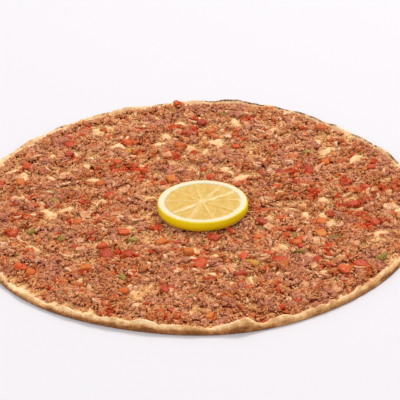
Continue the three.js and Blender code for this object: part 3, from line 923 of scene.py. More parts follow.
# %% The diced pieces that catch the eye
KINDS = {  # mean length, width and height
    "tomato": (6.6, 5, 2.8), "carrot": (6, 4.8, 3), "pepper": (6.4, 3.2, 2.2), "onion": (6.8, 4.4, 1.8),
}
PLACED = {
    "tomato": [
        (12, -46), (6, 111), (98, 19), (-52, 55), (3, -75), (118, 42), (29, 73), (90, -87),
        (-19, -105), (105, -21), (-112, 52), (-85, 67), (52, -74), (-58, -52), (-115, -34), (112, 15),
        (-54, 12), (-55, -64), (-41, -64), (27, -89), (76, 40), (102, -7), (58, 37), (114, -30),
        (-44, -37), (-107, -75), (-34, 43), (-45, 84), (-84, 82), (100, -80), (67, 24)],
    "carrot": [
        (-43, -105), (-4, -61), (-21, -49), (-67, -78), (-75, -22), (8, -133), (79, -43), (-15, 30),
        (-9, 76), (88, 49), (80, -29), (64, -53), (40, -46), (-100, -83)],
    "pepper": [
        (-93, 16), (-83, -43), (-39, -46), (62, -44), (-44, -89), (-5, -112), (114, -73), (77, 63),
        (-44, 72), (35, -75), (-90, 5), (87, -46)],
    "onion": [
        (-28, -55), (24, 90), (83, -105), (-50, -14), (-2, 123), (-76, -102), (38, 106), (-70, -15),
        (48, -34), (-47, 17), (126, 6), (72, -79), (-31, -91), (-71, -57), (-87, 36), (-18, 64),
        (100, -55), (-117, -5)],
}
YELLOW_DICE = [(-44, 72), (35, -75)]
print("placed:", {kind: len(spots) for kind, spots in PLACED.items()})

# %% [markdown]
# Four masks describe the meat. `depth` says how deep a place lies below the surface round it,
# where the crannies are painted dark, partly for the dark juice that they hold and partly as
# painted shade. `film` says how thin the mince is. `warmth` says whether it is tinted by tomato
# paste or stays the greyer pink of plain meat, which changes from clump to clump and is
# strongest beside a juicy piece. `tone` is the lightness of each single crumb.

# %% Paint the core
STAIN_REACH = 4.6  # mm that the juice of a tomato or carrot piece spreads


def stain(x, y):
    """1 beside a juicy piece, fading away from it."""
    near = np.zeros(x.shape)
    ragged = STAIN_REACH * (1 + 0.5 * noise(x, y, 4, 94))
    for kind in ("tomato", "carrot"):
        for spot_x, spot_y in PLACED[kind]:
            near = np.maximum(near, np.exp(-((x - spot_x) ** 2 + (y - spot_y) ** 2) / ragged ** 2))
    return near


def warmth(x, y):
    patches = 0.6 * noise(x, y, 13, 91) + 0.8 * noise(x, y, 5.5, 92) + 0.3 * noise(x, y, 3, 93)
    return np.clip(patches + 1.25 * stain(x, y), -1, 1.5)


def drift(x, y):
    """Slow change of lightness from place to place."""
    return 0.13 * noise(x, y, 9, 53) + 0.12 * noise(x, y, 21, 54)


def cranny_juice_and_shade(x, y, z):
    """1 deep between the crumbs, 0 on top of them: where dark juice and painted shade are laid."""
    return smooth(meat_height(x, y, crumbs=False) + 0.35 - z, -0.5, 0.9)


def paint_core(piece):
    x, y, z = places(piece).T
    thin = thinness(x, y)
    tone = cells(x, y, *COARSE_CRUMBS)[1] * 0.6 + 0.4 * cells(x, y, *FINE_CRUMBS)[1] + drift(x, y)
    # depth darkens the crannies: partly the dark juice that they hold, partly painted shade.
    paint(piece, depth=cranny_juice_and_shade(x, y, z) * (1 - thin), film=thin, warmth=warmth(x, y), tone=tone)
    span = 2 * (CORE_REACH + 2)
    lay_map(piece, 0.5 + x / span, 0.5 + y / span)


paint_core(core)
print("core masks:", [layer.name for layer in core.data.attributes if layer.data_type == "FLOAT"])

# %% [markdown]
# A crumb is a short ragged lump of minced meat and a clump is a few of them baked together. We
# model a few of each once, with few faces: a small ball is stretched, and its vertices are
# shaken with a fixed seed. Thousands of copies are then joined into a few meshes, each copy
# turned and sized by its own draw, because thousands of separate objects would be slow and
# instances are lost when the model is exported.

# %% Model the master lumps
MASTERS = 10  # of the crumbs, and of the clumps


def take_away(piece):
    """Keeps the shape of a master, as (points in mm, faces), and removes the object."""
    points = places(piece)
    faces = [tuple(face.vertices) for face in piece.data.polygons]
    mesh = piece.data
    bpy.data.objects.remove(piece)
    bpy.data.meshes.remove(mesh)
    return points, faces


def crumb(seed, size):
    """A ragged lump of 20 faces."""
    piece = start_piece("crumb", bpy.ops.mesh.primitive_ico_sphere_add, subdivisions=1,
                        radius=1.08 * MM, enter_editmode=True)
    bpy.ops.transform.resize(value=size)
    bpy.ops.transform.vertex_random(offset=0.36 * MM, uniform=0.6, normal=0.5, seed=seed)
    bpy.ops.object.mode_set(mode="OBJECT")
    return take_away(piece)


def clump(seed, size):
    """A knobbly lump of 80 faces."""
    piece = start_piece("clump", bpy.ops.mesh.primitive_ico_sphere_add, subdivisions=2, radius=MM,
                        enter_editmode=True)
    bpy.ops.transform.vertex_random(offset=0.42 * MM, uniform=0.4, normal=0.9, seed=seed)
    bpy.ops.mesh.vertices_smooth(factor=0.15)
    bpy.ops.transform.resize(value=size)
    bpy.ops.object.mode_set(mode="OBJECT")
    return take_away(piece)


def block(seed, shake, rounding, cuts=1):
    """One diced piece with rounded, uneven sides: 24 faces, or 96 with three cuts."""
    piece = start_piece("block", bpy.ops.mesh.primitive_cube_add, size=2 * MM, enter_editmode=True)
    bpy.ops.transform.vertex_random(offset=shake * MM, uniform=1, normal=0, seed=seed)
    bpy.ops.mesh.subdivide(number_cuts=cuts)
    bpy.ops.mesh.vertices_smooth(factor=rounding, repeat=cuts)
    bpy.ops.transform.vertex_random(offset=shake * 0.35 * MM, uniform=0.5, normal=0.6, seed=seed + 50)
    bpy.ops.object.mode_set(mode="OBJECT")
    return take_away(piece)


CRUMB_MASTERS = [crumb(seed, (1.0 + 0.2 * (seed % 3), 0.85, 0.85)) for seed in range(MASTERS)]
CLUMP_MASTERS = [clump(seed, (1.1, 0.95, 0.95)) for seed in range(MASTERS)]
print("faces in a crumb:", len(CRUMB_MASTERS[0][1]), "and in a clump:", len(CLUMP_MASTERS[0][1]))

# %% [markdown]
# Every copy also gets its own small square of the surface map, with its upper half as one disc
# and its lower half as another beside it. No two copies then share a place on the map, so their
# colours can be baked apart.

# %% Join many copies into one mesh
LUMP_FILM = 0.85  # share of the core's film colour that a lump on it takes


def turning(turn, lean_x, lean_y):
    """Rotations for arrays of angles: first turn about Z, then lean about Y and about X."""
    cz, sz, cx, sx, cy, sy = (f(a) for a in (turn, lean_x, lean_y) for f in (np.cos, np.sin))
    zero, one = np.zeros_like(turn), np.ones_like(turn)
    about_z = np.array([[cz, -sz, zero], [sz, cz, zero], [zero, zero, one]])
    about_x = np.array([[one, zero, zero], [zero, cx, -sx], [zero, sx, cx]])
    about_y = np.array([[cy, zero, sy], [zero, one, zero], [-sy, zero, cy]])
    return np.einsum("ijn,jkn,kln->nil", about_x, about_y, about_z)


def disc_map(points, faces):
    """Where each corner of a master lies in its square of the map, from 0 to 1."""
    ways = points / np.linalg.norm(points, axis=1)[:, None]
    spots = []
    for face in faces:
        side = 1 if ways[list(face), 2].sum() >= 0 else -1
        for corner in face:
            across, up, rise = ways[corner]
            reach = math.sqrt(max(1 - rise * side, 0)) / math.hypot(across, up or 1e-9) / 1.35
            spots.append((0.25 + 0.25 * (side < 0) * 2 + 0.24 * across * reach, 0.5 + 0.48 * up * reach))
    return np.array(spots)


def strew(name, masters, spots, shading):
    """spots is a dict of arrays: x, y, z, size (n by 3), turn, lean_x, lean_y, tone."""
    count = len(spots["x"])
    rotations = turning(spots["turn"], spots["lean_x"], spots["lean_y"])
    columns = math.ceil(math.sqrt(count / 2))
    rows = math.ceil(count / columns)
    all_points, all_faces, all_spots, owners, start = [], [], [], [], 0
    for kind, (points, faces) in enumerate(masters):
        chosen = np.flatnonzero(np.arange(count) % len(masters) == kind)
        sized = points[None] * spots["size"][chosen][:, None, :]
        placed = np.einsum("nij,nkj->nki", rotations[chosen], sized)
        placed += np.stack([spots["x"], spots["y"], spots["z"]], 1)[chosen][:, None, :]
        all_points.append(placed.reshape(-1, 3))
        offsets = start + np.arange(len(chosen)) * len(points)
        all_faces += [tuple(corner + offset for corner in face)
                      for offset in offsets.tolist() for face in faces]
        square = np.stack([chosen % columns, chosen // columns], 1)[:, None, :]
        all_spots.append(((disc_map(points, faces)[None] + square) / (columns, rows)).reshape(-1, 2))
        owners.append(np.repeat(chosen, len(points)))
        start += len(chosen) * len(points)
    points, owner = np.concatenate(all_points), np.concatenate(owners)
    mesh = bpy.data.meshes.new(name)
    mesh.from_pydata((points * MM).tolist(), [], all_faces)
    piece = bpy.data.objects.new(name, mesh)
    scene.collection.objects.link(piece)
    layer = mesh.uv_layers.new(name="OFBake")
    layer.data.foreach_set("uv", np.concatenate(all_spots).astype(np.float32).ravel())
    here = spots["x"], spots["y"]
    # depth darkens each lump's lower, sunk corners: partly juice, partly painted shade.
    paint(piece, tone=spots["tone"][owner], warmth=warmth(*here)[owner],
          film=LUMP_FILM * thinness(*here)[owner], depth=cranny_juice_and_shade(*points.T))
    smooth_shade(piece, shading)
    return piece


print("one turn:", turning(np.array([0.5]), np.array([0.1]), np.array([0.0])).shape)

# %% [markdown]
# Diced vegetables come next. The large pieces stand where the solids have them, with the size,
# lean and turn that the solids' own draw gave. Small scraps of each kind are strewn between
# them, most of them tomato and onion, since those cook down to shreds.

# %% Where the diced pieces lie
SCATTERED = 38
SCATTER_CYCLE = ["tomato", "onion", "carrot", "onion", "pepper", "tomato", "onion"]
SPACING = 9.0
DICE_TILT = 0.15  # radians, the most that a piece leans
DICE_LIFT = 0.15  # share of its height that a piece's middle stands above the mince
DICE_SEED = 500
CORNER_DRAWS = 8 * 3  # numbers that the solids draw to shake a block's corners


def large_dice():
    found = [(kind, x, y) for kind, spots in PLACED.items() for x, y in spots]
    for i in range(SCATTERED):
        radius = SCATTER_RADIUS * math.sqrt((i + 0.5) / SCATTERED)
        x, y = radius * math.cos(i * GOLDEN_ANGLE), radius * math.sin(i * GOLDEN_ANGLE)
        close = any(math.hypot(other_x - x, other_y - y) < SPACING for kind, other_x, other_y in found)
        bare = any(math.hypot(sx - x, sy - y) < half + 2 for sx, sy, half, *rest in BARE_SPOTS)
        if not (close or bare or from_lemon(x, y) < LEMON_RADIUS):
            found.append((SCATTER_CYCLE[i % len(SCATTER_CYCLE)], x, y))
    return found


def dice_table():
    """Every large piece: kind, x, y, half sizes, leans and turn."""
    rows = []
    for index, (kind, x, y) in enumerate(large_dice()):
        draw = seeded(DICE_SEED + index)
        size = 0.8 + next(draw) * 0.4
        for corner in range(CORNER_DRAWS):
            next(draw)
        lean_x, lean_y = ((next(draw) * 2 - 1) * DICE_TILT for axis in range(2))
        length, width, height = KINDS[kind]
        rows.append((kind, x, y, length * size / 2, width * size / 2, height / 2, lean_x, lean_y,
                     next(draw) * math.pi))
    return rows


DICE = dice_table()
print("large dice:", {kind: sum(row[0] == kind for row in DICE) for kind in KINDS})

# %% [markdown]
# A diced piece is a cube whose corners are shaken before it is subdivided and smoothed, so that
# its sides stay flat and its edges round off unevenly, as cooking does. The large ones get more
# faces than the scraps. A sliver of onion is the same block, long and thin, and curved like the
# layer that it was cut from.

# %% Model the diced pieces
BLOCKS = 6  # masters of each kind
UNEVENNESS = {  # mm that corners are shaken, and how far the edges are rounded
    "tomato": (0.42, 0.4), "carrot": (0.28, 0.3), "pepper": (0.36, 0.35), "onion": (0.44, 0.4),
}
SLIVER_UNEVENNESS = (0.3, 0.35)
SLIVER_BEND = 1.3  # how far the ends of a sliver curl, for a half length and half width of 1
BEND_MIDDLE = 0.6


def blocks(first_seed, unevenness, **cuts):
    return [block(first_seed + seed, *unevenness, **cuts) for seed in range(BLOCKS)]


def curl(master):
    """A block curved like a sliver from an onion's layer."""
    points, faces = master
    across = points[:, 1] + SLIVER_BEND * points[:, 0] ** 2 - BEND_MIDDLE
    return np.stack([points[:, 0], across, points[:, 2]], 1), faces


SMALL_MASTERS = {kind: blocks(10 * row, UNEVENNESS[kind]) for row, kind in enumerate(KINDS)}
LARGE_MASTERS = {kind: blocks(10 * row, UNEVENNESS[kind], cuts=3) for row, kind in enumerate(KINDS)}
SLIVER_MASTERS = [curl(master) for master in blocks(60, SLIVER_UNEVENNESS, cuts=3)]
print("faces in a scrap:", len(SMALL_MASTERS["onion"][0][1]), "and in a large piece:",
      len(LARGE_MASTERS["onion"][0][1]))

# %% [markdown]
# Each set of copies is described by arrays of places, sizes, turns, leans and tones. Scraps and
# slivers are strewn in a sunflower's spiral, which fills a round evenly with no rows, each one
# shaken off its place a little. They keep off the lemon and the bare spots.

# %% Where scraps and slivers lie
SCRAPS = {  # how many, mean half length, half width, half height
    "tomato": (270, 1.9, 1.3, 0.9), "carrot": (170, 1.5, 1.1, 0.8),
    "pepper": (90, 1.5, 0.8, 0.5), "onion": (520, 2.0, 1.2, 0.7),
}
SLIVERS = 110
LARGE_SEED, SCRAP_SEED, SLIVER_SEED = 60, 70, 90
DICE_SUNK = 0.75  # mm that a piece sinks into the soft mince
DICE_SWELL = 1.08  # makes up for what rounding takes off a block


def off_dice(x, y, overlap):
    """True where a piece covers no more than the rim of a large diced piece."""
    clear = np.ones(x.shape, bool)
    for kind, middle_x, middle_y, length, width, height, lean_x, lean_y, turn in DICE:
        clear &= from_oval(x, y, middle_x, middle_y, length, width, turn) > overlap
    return clear


def sunflower(rng, count, reach, start, stray):
    """Evenly strewn places on a round, from a first angle on, each one shaken off by a stray."""
    steps = np.arange(count)
    radius = reach * np.sqrt((steps + rng.random(count)) / count)
    angle = steps * GOLDEN_ANGLE + start + rng.random(count) * stray
    return radius * np.cos(angle), radius * np.sin(angle)


def leans(rng, count, spread, steepest=math.inf):
    """Random leans in radians, most of them within the spread."""
    return rng.normal(0, spread, count).clip(-steepest, steepest)


def only(spots, clear):
    """The copies that are chosen, with all that describes them."""
    return {name: values[clear] for name, values in spots.items()}


def scrap_spots(kind, seed):
    count, length, width, height = SCRAPS[kind]
    rng = np.random.default_rng(seed)
    x, y = sunflower(rng, count, SCATTER_RADIUS + 1, 0, 1.5)
    size = 0.55 + rng.random(count) ** 2
    half = np.stack([length * size, width * size, height * (0.8 + 0.4 * rng.random(count))], 1)
    clear = (from_lemon(x, y) > LEMON_RADIUS + 1.5) & (bareness(x, y) < 0.7)
    spots = {"x": x, "y": y, "z": meat_height(x, y, crumbs=False) + CRUMB_ROOM * 0.6,
             "size": half * DICE_SWELL, "turn": rng.random(count) * math.pi,
             "lean_x": leans(rng, count, 0.35), "lean_y": leans(rng, count, 0.35),
             "tone": 0.3 + 0.6 * rng.random(count)}
    return only(spots, clear)


def sliver_spots():
    rng = np.random.default_rng(SLIVER_SEED)
    x, y = sunflower(rng, SLIVERS, SCATTER_RADIUS, 2, 1)
    half = np.stack([least + spread * rng.random(SLIVERS)
                     for least, spread in ((2.6, 1.8), (0.75, 0.35), (0.6, 0.3))], 1)
    clear = (from_lemon(x, y) > LEMON_RADIUS + 4) & off_dice(x, y, 1.2) & (bareness(x, y) < 0.5)
    spots = {"x": x, "y": y, "z": meat_height(x, y, crumbs=False) + CRUMB_ROOM + 0.5, "size": half,
             "turn": rng.random(SLIVERS) * 2 * math.pi, "tone": 0.35 + 0.6 * rng.random(SLIVERS),
             "lean_x": leans(rng, SLIVERS, 0.2, 0.3), "lean_y": leans(rng, SLIVERS, 0.15, 0.3)}
    return only(spots, clear)


print("slivers that find room:", len(sliver_spots()["x"]), "of", SLIVERS)

# %% [markdown]
# A large piece is laid by the table made above, so it covers the plain one in the solids. All
# pieces of one kind and size become one mesh, which then wears that kind's finish.

# %% Strew the diced pieces
def dice_middle(x, y, height):
    """Height of a large piece's middle."""
    return meat_level(x, y) + height * 2 * DICE_LIFT - DICE_SUNK


def large_spots(kind, seed):
    rows = [row for row in DICE if row[0] == kind]
    x, y, length, width, height, lean_x, lean_y, turn = np.array([row[1:] for row in rows]).T
    tone = np.random.default_rng(seed).random(len(rows)) * 0.8
    yellow = [spot in YELLOW_DICE for spot in zip(x, y)]
    return {"x": x, "y": y, "z": dice_middle(x, y, height),
            "size": np.stack([length, width, height], 1) * DICE_SWELL, "turn": turn,
            "lean_x": lean_x, "lean_y": lean_y, "tone": np.where(yellow, 1.0, tone)}


DICE_SHADING = 70  # degrees, below which an edge looks round
PIECES = []
for number, kind in enumerate(KINDS):
    spots = large_spots(kind, LARGE_SEED + number)
    large = strew(kind + "_dice", LARGE_MASTERS[kind], spots, DICE_SHADING)
    spots = scrap_spots(kind, SCRAP_SEED + number)
    small = strew(kind + "_scraps", SMALL_MASTERS[kind], spots, DICE_SHADING)
    PIECES += [(kind, large), (kind, small)]
PIECES.append(("onion", strew("onion_slivers", SLIVER_MASTERS, sliver_spots(), DICE_SHADING)))
print("corners in the diced pieces:", {piece.name: len(piece.data.vertices) for kind, piece in PIECES})

# %% [markdown]
# Clumps stand on a jittered honeycomb, which packs them evenly with no rows showing. They keep
# off the thin places, the dice and the lemon, and each one is sunk a little into the core. One
# that leaned too steeply would poke out below the bread, so the leans are held back.

# %% Where the clumps lie
CLUMP_SEED = 5
CLUMP_STEP = 4.4  # mm from one to the next
ROW_STEP = 0.866  # share of a step between the rows of a honeycomb


def honeycomb(step, stray, rng):
    rows, columns = int(2 * CORE_REACH / (step * ROW_STEP)), int(2 * CORE_REACH / step)
    row, column = np.mgrid[0:rows, 0:columns].reshape(2, -1)
    x = (column + 0.5 * (row % 2)) * step - CORE_REACH
    y = row * step * ROW_STEP - CORE_REACH
    return x + rng.normal(0, stray, row.size) * step, y + rng.normal(0, stray, row.size) * step


def clump_spots():
    rng = np.random.default_rng(CLUMP_SEED)
    x, y = honeycomb(CLUMP_STEP, 0.3, rng)
    clear = (from_meat_edge(x, y) > 0.6) & (thinness(x, y) < 0.35 + 0.3 * rng.random(x.size))
    clear &= (from_lemon(x, y) > LEMON_RADIUS + 1.5) & off_dice(x, y, 1.0)
    x, y = x[clear], y[clear]
    count = len(x)
    scale = 1.35 + 1.25 * rng.random(count) ** 1.5
    size = np.stack([scale * (0.95 + 0.4 * rng.random(count)), scale, 0.75 * scale], 1)
    z = meat_height(x, y, crumbs=False) + 0.25 + 0.35 * rng.random(count) - 0.12 * scale
    return {"x": x, "y": y, "z": np.maximum(z, DOUGH_TOP + 0.2 * scale), "size": size,
            "turn": rng.random(count) * math.pi,
            "lean_x": leans(rng, count, 0.25, 0.4), "lean_y": leans(rng, count, 0.25, 0.4),
            "tone": np.clip(rng.normal(0.43, 0.11, count) + drift(x, y), 0, 1)}


clumps_laid = clump_spots()
print("clumps:", len(clumps_laid["x"]))

# %% [markdown]
# Crumbs fill what is between the clumps. They also ride up on the clumps and over the rims of
# the dice, which beds all of it into one baked layer. They lie sparse on the thin film, keep off
# the bare spots, duck under the edge of the lemon, and at the edge of the mince thin out into a
# few strays.

# %% Where the crumbs lie
CRUMB_SEED = 7
CRUMB_STEP = 1.42
HIGHEST = 13.2  # mm, top of the tallest heap
NO_CAP = 99  # mm, higher than anything here


def hills_of_dice():
    x, y, length, width, height = np.array([row[1:6] for row in DICE], dtype=float).T
    return np.stack([x, y, dice_middle(x, y, height), (length + width) / 2, height], 1)


def hills_of(laid):
    size = laid["size"]
    return np.stack([laid["x"], laid["y"], laid["z"], size[:, 1] * 1.05, size[:, 2]], 1)


def dome(x, y, hills):
    """Height of the nearest hill's round top over each place, or 0 beside it. A hill is
    x, y, z, half width, half height."""
    tree = KDTree(len(hills))
    for index, (hill_x, hill_y, *rest) in enumerate(hills):
        tree.insert((hill_x, hill_y, 0), index)
    tree.balance()
    nearest = np.array([tree.find((px, py, 0))[1:] for px, py in zip(x.tolist(), y.tolist())])
    hill = hills[nearest[:, 0].astype(int)]
    share = nearest[:, 1] / hill[:, 3]
    return np.where(share < 1, hill[:, 2] + hill[:, 4] * np.sqrt(np.clip(1 - share ** 2, 0, 1)), 0)


def crumb_spots(laid):
    rng = np.random.default_rng(CRUMB_SEED)
    x, y = honeycomb(CRUMB_STEP, 0.36, rng)
    count = x.size
    inside = from_meat_edge(x, y)
    ragged = 1.5 * noise(x, y, 8, 51) + 0.9 * noise(x, y, 3, 52)
    clear = (inside + ragged > -0.9) | ((inside > -2.2) & (rng.random(count) < 0.12))
    clear &= rng.random(count) > 0.45 * thinness(x, y)
    clear &= bareness(x, y) < rng.random(count) * 0.98 + 0.1
    clear &= (from_lemon(x, y) > LEMON_RADIUS - 2.5) & off_dice(x, y, 0.34)
    x, y = x[clear], y[clear]
    count = len(x)
    scale = 0.41 + 0.6 * rng.random(count) ** 1.7
    long = np.where(rng.random(count) < 0.3, 1.7 + 0.9 * rng.random(count), 0.95 + 0.5 * rng.random(count))
    size = np.stack([scale * long, scale, scale * 0.9], 1)
    z = meat_height(x, y, crumbs=False) + CRUMB_ROOM * 0.55 + rng.normal(0, 0.42, count)
    hills = np.concatenate([hills_of(laid), hills_of_dice()])
    z = np.maximum(z, dome(x, y, hills) - 0.25 - 0.5 * rng.random(count))
    cap = np.where(from_lemon(x, y) < LEMON_RADIUS + 2, lemon_floor(x, y) - scale * 1.1, NO_CAP)
    z = np.clip(np.minimum(z, cap), DOUGH_TOP + 0.5 * scale, HIGHEST - 1.4 * scale)
    return {"x": x, "y": y, "z": z, "size": size, "turn": rng.random(count) * math.pi,
            "lean_x": leans(rng, count, 0.5, 0.6), "lean_y": leans(rng, count, 0.5, 0.6),
            "tone": np.clip(rng.normal(0.5, 0.165, count) + drift(x, y), 0, 1)}


crumbs_laid = crumb_spots(clumps_laid)
print("crumbs:", len(crumbs_laid["x"]))

# %% [markdown]
# One mesh of all the crumbs would be too heavy, so they are dealt out in turn to three. That
# spreads each of the three over the whole bread, and none of them shows a border.

# %% Strew the clumps and the crumbs
CRUMB_MESHES = 3
MINCE_SHADING = 100  # degrees, below which an edge looks round

LUMPS = [strew("mince_clumps", CLUMP_MASTERS, clumps_laid, MINCE_SHADING)]
for number in range(CRUMB_MESHES):
    share = only(crumbs_laid, slice(number, None, CRUMB_MESHES))
    LUMPS.append(strew(f"mince_crumbs_{number + 1}", CRUMB_MASTERS, share, MINCE_SHADING))
print("corners in the lumps:", {piece.name: len(piece.data.vertices) for piece in LUMPS})

# %% [markdown]
# Cooked mince is moist but not shiny. Each crumb has its own shade, from deep brown to pale
# tan. `warmth` pulls it towards the orange of tomato paste or the greyer pink of plain meat,
# and the crannies are painted dark, partly as the juice that they hold and partly as painted
# shade. The core takes the same shades, and where the mince thins it turns into an orange film
# of baked-in fat over the dough.

# %% Finishes of the mince
MEAT_SHADES = [(0.0, (148, 58, 4)), (0.25, (186, 104, 52)), (0.5, (211, 141, 94)),
               (0.75, (227, 164, 116)), (1.0, (239, 188, 140))]
PLAIN_MEAT = (197, 127, 106)
PASTE = (217, 127, 72)
TOMATO_RED = (203, 66, 33)
CRANNY_JUICE_AND_SHADE = (114, 28, 0)
FILM = (240, 188, 124)


def mince_finish():
    mince = Finish("mince", Roughness=0.6, Specular_IOR_Level=0.02, Subsurface_Weight=0.05,
                   Subsurface_Scale=0.0015)
    grain = mince.mottle(760, 2100)
    tone = mince.maths("ADD", mince.mask("tone"), mince.stretch(grain, 0.3, 0.7, -0.74, 0.74))
    colour = mince.ramp(tone, MEAT_SHADES)
    warm = mince.mask("warmth")
    patchy = mince.stretch(mince.mottle(120, 300), 0.35, 0.65, -0.35, 0.35)
    heat = mince.maths("ADD", warm, patchy)
    colour = mince.over(mince.stretch(heat, 0.0, -0.8, 0.0, 0.7), PLAIN_MEAT, colour)
    colour = mince.over(mince.stretch(heat, 0.2, 1.0, 0.0, 0.42), PASTE, colour)
    colour = mince.over(mince.stretch(heat, 0.45, 1.05, 0.0, 0.88), TOMATO_RED, colour)
    film = mince.stretch(mince.mask("film"), 0.3, 0.9, 0.0, 0.75)
    colour = mince.over(film, FILM, colour)
    # The crannies are painted dark: partly juice, partly painted shade where light hardly reaches.
    colour = mince.over(mince.stretch(mince.mask("depth"), 0.19, 0.82, 0.0, 0.98), CRANNY_JUICE_AND_SHADE, colour)
    mince.colour(colour)
    mince.roughness(mince.stretch(grain, 0.35, 0.65, 0.5, 0.72))
    mince.bump(grain, 0.5, 0.7)
    return mince


mince_surface = mince_finish()
for piece in [core, *LUMPS]:
    mince_surface.give(piece)
    keep(piece, "meat_topping")

# %% [markdown]
# Baked vegetables are soft and moist, so they gleam a little more than the meat, and some light
# passes into them. Each kind has its own range of colour, driven by the tone of the piece. All
# of them are smeared here and there with the juice of the mince, and their lower edges are
# painted darker, partly by that juice and partly as painted shade.

# %% Finishes of the diced vegetables
DICE_SHADES = {
    "tomato": [(0.0, (150, 34, 22)), (0.35, (182, 50, 30)), (0.7, (208, 68, 24)), (1.0, (222, 104, 44))],
    "carrot": [(0.0, (190, 78, 12)), (0.5, (208, 104, 26)), (1.0, (222, 140, 62))],
    "pepper": [(0.0, (94, 100, 28)), (0.6, (130, 132, 46)), (0.85, (158, 150, 72)), (1.0, (214, 152, 34))],
    "onion": [(0.0, (216, 156, 106)), (0.5, (234, 186, 138)), (1.0, (241, 210, 168))],
}
SMEAR = (198, 112, 68)
SMEARED = {"tomato": 0.42, "carrot": 0.46, "pepper": 0.42, "onion": 0.75}  # most that it covers
LOW_EDGE_JUICE_AND_SHADE = (150, 68, 26)

for kind, piece in PIECES:
    finish = Finish(piece.name, Roughness=0.42, Specular_IOR_Level=0.12, Subsurface_Weight=0.12,
                    Subsurface_Scale=0.002)
    speckle = finish.mottle(420, 1300)
    shade = finish.maths("ADD", finish.mask("tone"), finish.stretch(speckle, 0.3, 0.7, -0.45, 0.45))
    flesh_colour = finish.ramp(shade, DICE_SHADES[kind])
    smeared = finish.stretch(finish.mottle(300, 800), 0.42, 0.54, 0.0, SMEARED[kind])
    flesh_colour = finish.over(smeared, SMEAR, flesh_colour)
    # The lower edges, sunk in the mince, are painted darker: partly juice, partly painted shade.
    low = finish.stretch(finish.mask("depth"), 0.0, 0.6, 0.0, 0.7)
    finish.colour(finish.over(low, LOW_EDGE_JUICE_AND_SHADE, flesh_colour))
    finish.roughness(finish.stretch(speckle, 0.35, 0.65, 0.32, 0.55))
    finish.bump(speckle, 0.8, 0.8)
    finish.give(piece)
    keep(piece, "meat_topping")

# %% [markdown]
# The lemon slice is two pieces: a hoop of rind, yellow outside and white pith within, and the
# disc of flesh that fills it. They could be one disc with painted zones, but where the wet flesh
# meets the pith there is a real step that catches the light. Both are drawn as rings and
# extruded, like the bread. The rind's section runs from its inner foot out under the slice, up
# the bulging peel and back in over the pith.

# %% Rings of the rind
LEMON_COLUMNS = 300
LEMON_FLESH_RADIUS = 24.4
TOP = LEMON_THICKNESS
PEEL_STEPS = 6  # rings between two points of the peel

peel_side = rounded(np.array([
    (LEMON_RADIUS - 0.7, 0), (LEMON_RADIUS - 0.1, TOP * 0.22), (LEMON_RADIUS, TOP * 0.55),
    (LEMON_RADIUS - 0.2, TOP * 0.85), (LEMON_RADIUS - 0.9, TOP)]), PEEL_STEPS)
pith_inner = LEMON_FLESH_RADIUS - 0.3
rind_rings = [(pith_inner, 0.0), *map(tuple, peel_side)]
rind_rings += [(LEMON_RADIUS - inset, TOP) for inset in (1.5, 2.3, 3.1)]
rind_rings += [(LEMON_FLESH_RADIUS + 0.6, TOP), (LEMON_FLESH_RADIUS + 0.1, TOP - 0.15),
               (pith_inner, TOP - 0.8)]
rind = draw_rings("lemon_rind", rind_rings, LEMON_COLUMNS, bridged=True)
print("rind vertices:", len(rind.data.vertices))

# %% [markdown]
# The peel is full of small pores and its edge isn't quite round. The rind settles into that
# while it still stands level in the middle, where its radius is easy to work with. Only then
# `lay_on_mince` tilts it and moves it to its place. Two masks tell the finish where the zest is
# and how far down the peel a place lies. Lower down, the peel is painted darker, partly a deeper
# yellow and partly painted shade.

# %% Settle the rind and paint it
RIND_MAP_WIDTH = 76  # mm


def lay_on_mince(x, y, z):
    """Tilts the slice and moves it to where it lies."""
    c, s = math.cos(-LEMON_TILT), math.sin(-LEMON_TILT)
    return np.stack([x + LEMON_CENTRE[0], y * c - z * s + LEMON_CENTRE[1],
                     y * s + z * c + LEMON_UNDERSIDE], 1)


def lay_round_map(piece, unrolled, angle, width):
    """A map as seen from above, with the sides unrolled round it."""
    lay_map(piece, 0.5 + unrolled * np.cos(angle) / width, 0.5 + unrolled * np.sin(angle) / width)


def settle_rind(piece):
    x, y, z = places(piece).T
    angle, radius = np.arctan2(y, x), np.hypot(x, y)
    along = angle * LEMON_RADIUS
    outer = smooth(radius, LEMON_RADIUS - 2.5, LEMON_RADIUS - 0.5)
    inner = smooth(LEMON_FLESH_RADIUS + 1.6 - radius, 0, 1)
    pores = cells(along, z * 1.2 + radius, 0.9, 61)[0]
    wavy = 0.12 * np.sin(3 * angle + 1) + 0.1 * round_noise(angle, LEMON_RADIUS, z, 9, 62)
    inner_wave = 0.3 * round_noise(angle, LEMON_RADIUS, np.zeros_like(z), 4, 63)
    radius = radius + outer * (wavy - 0.06 * smooth(0.35 - pores, 0, 0.3)) + inner * inner_wave
    edge = LEMON_RADIUS + 0.2 * round_noise(angle, LEMON_RADIUS, z, 3, 64)
    zest = 0.2 * smooth(radius, edge - 2.6, edge - 1.2) + 0.8 * smooth(radius, edge - 1.1, edge - 0.5)
    # This mask darkens the lower peel: partly a deeper yellow, partly painted shade.
    paint(piece, bottom=smooth(TOP * 0.75 - z, 0, TOP * 0.75) * outer, zest=zest)
    z = z + (0.07 * noise(x, y, 1.8, 65) - 0.07) * (z > TOP - 0.5)
    settle(piece, lay_on_mince(radius * np.cos(angle), radius * np.sin(angle), z))
    unrolled = np.where(z > TOP * 0.97, radius, LEMON_RADIUS + (TOP - z))
    unrolled = np.where(radius < pith_inner + 0.2, pith_inner - (TOP - z) * 0.3, unrolled)
    lay_round_map(piece, unrolled, angle, RIND_MAP_WIDTH)


settle_rind(rind)
smooth_shade(rind)
print("the rind's top stands at", places(rind)[:, 2].max().round(2), "mm")

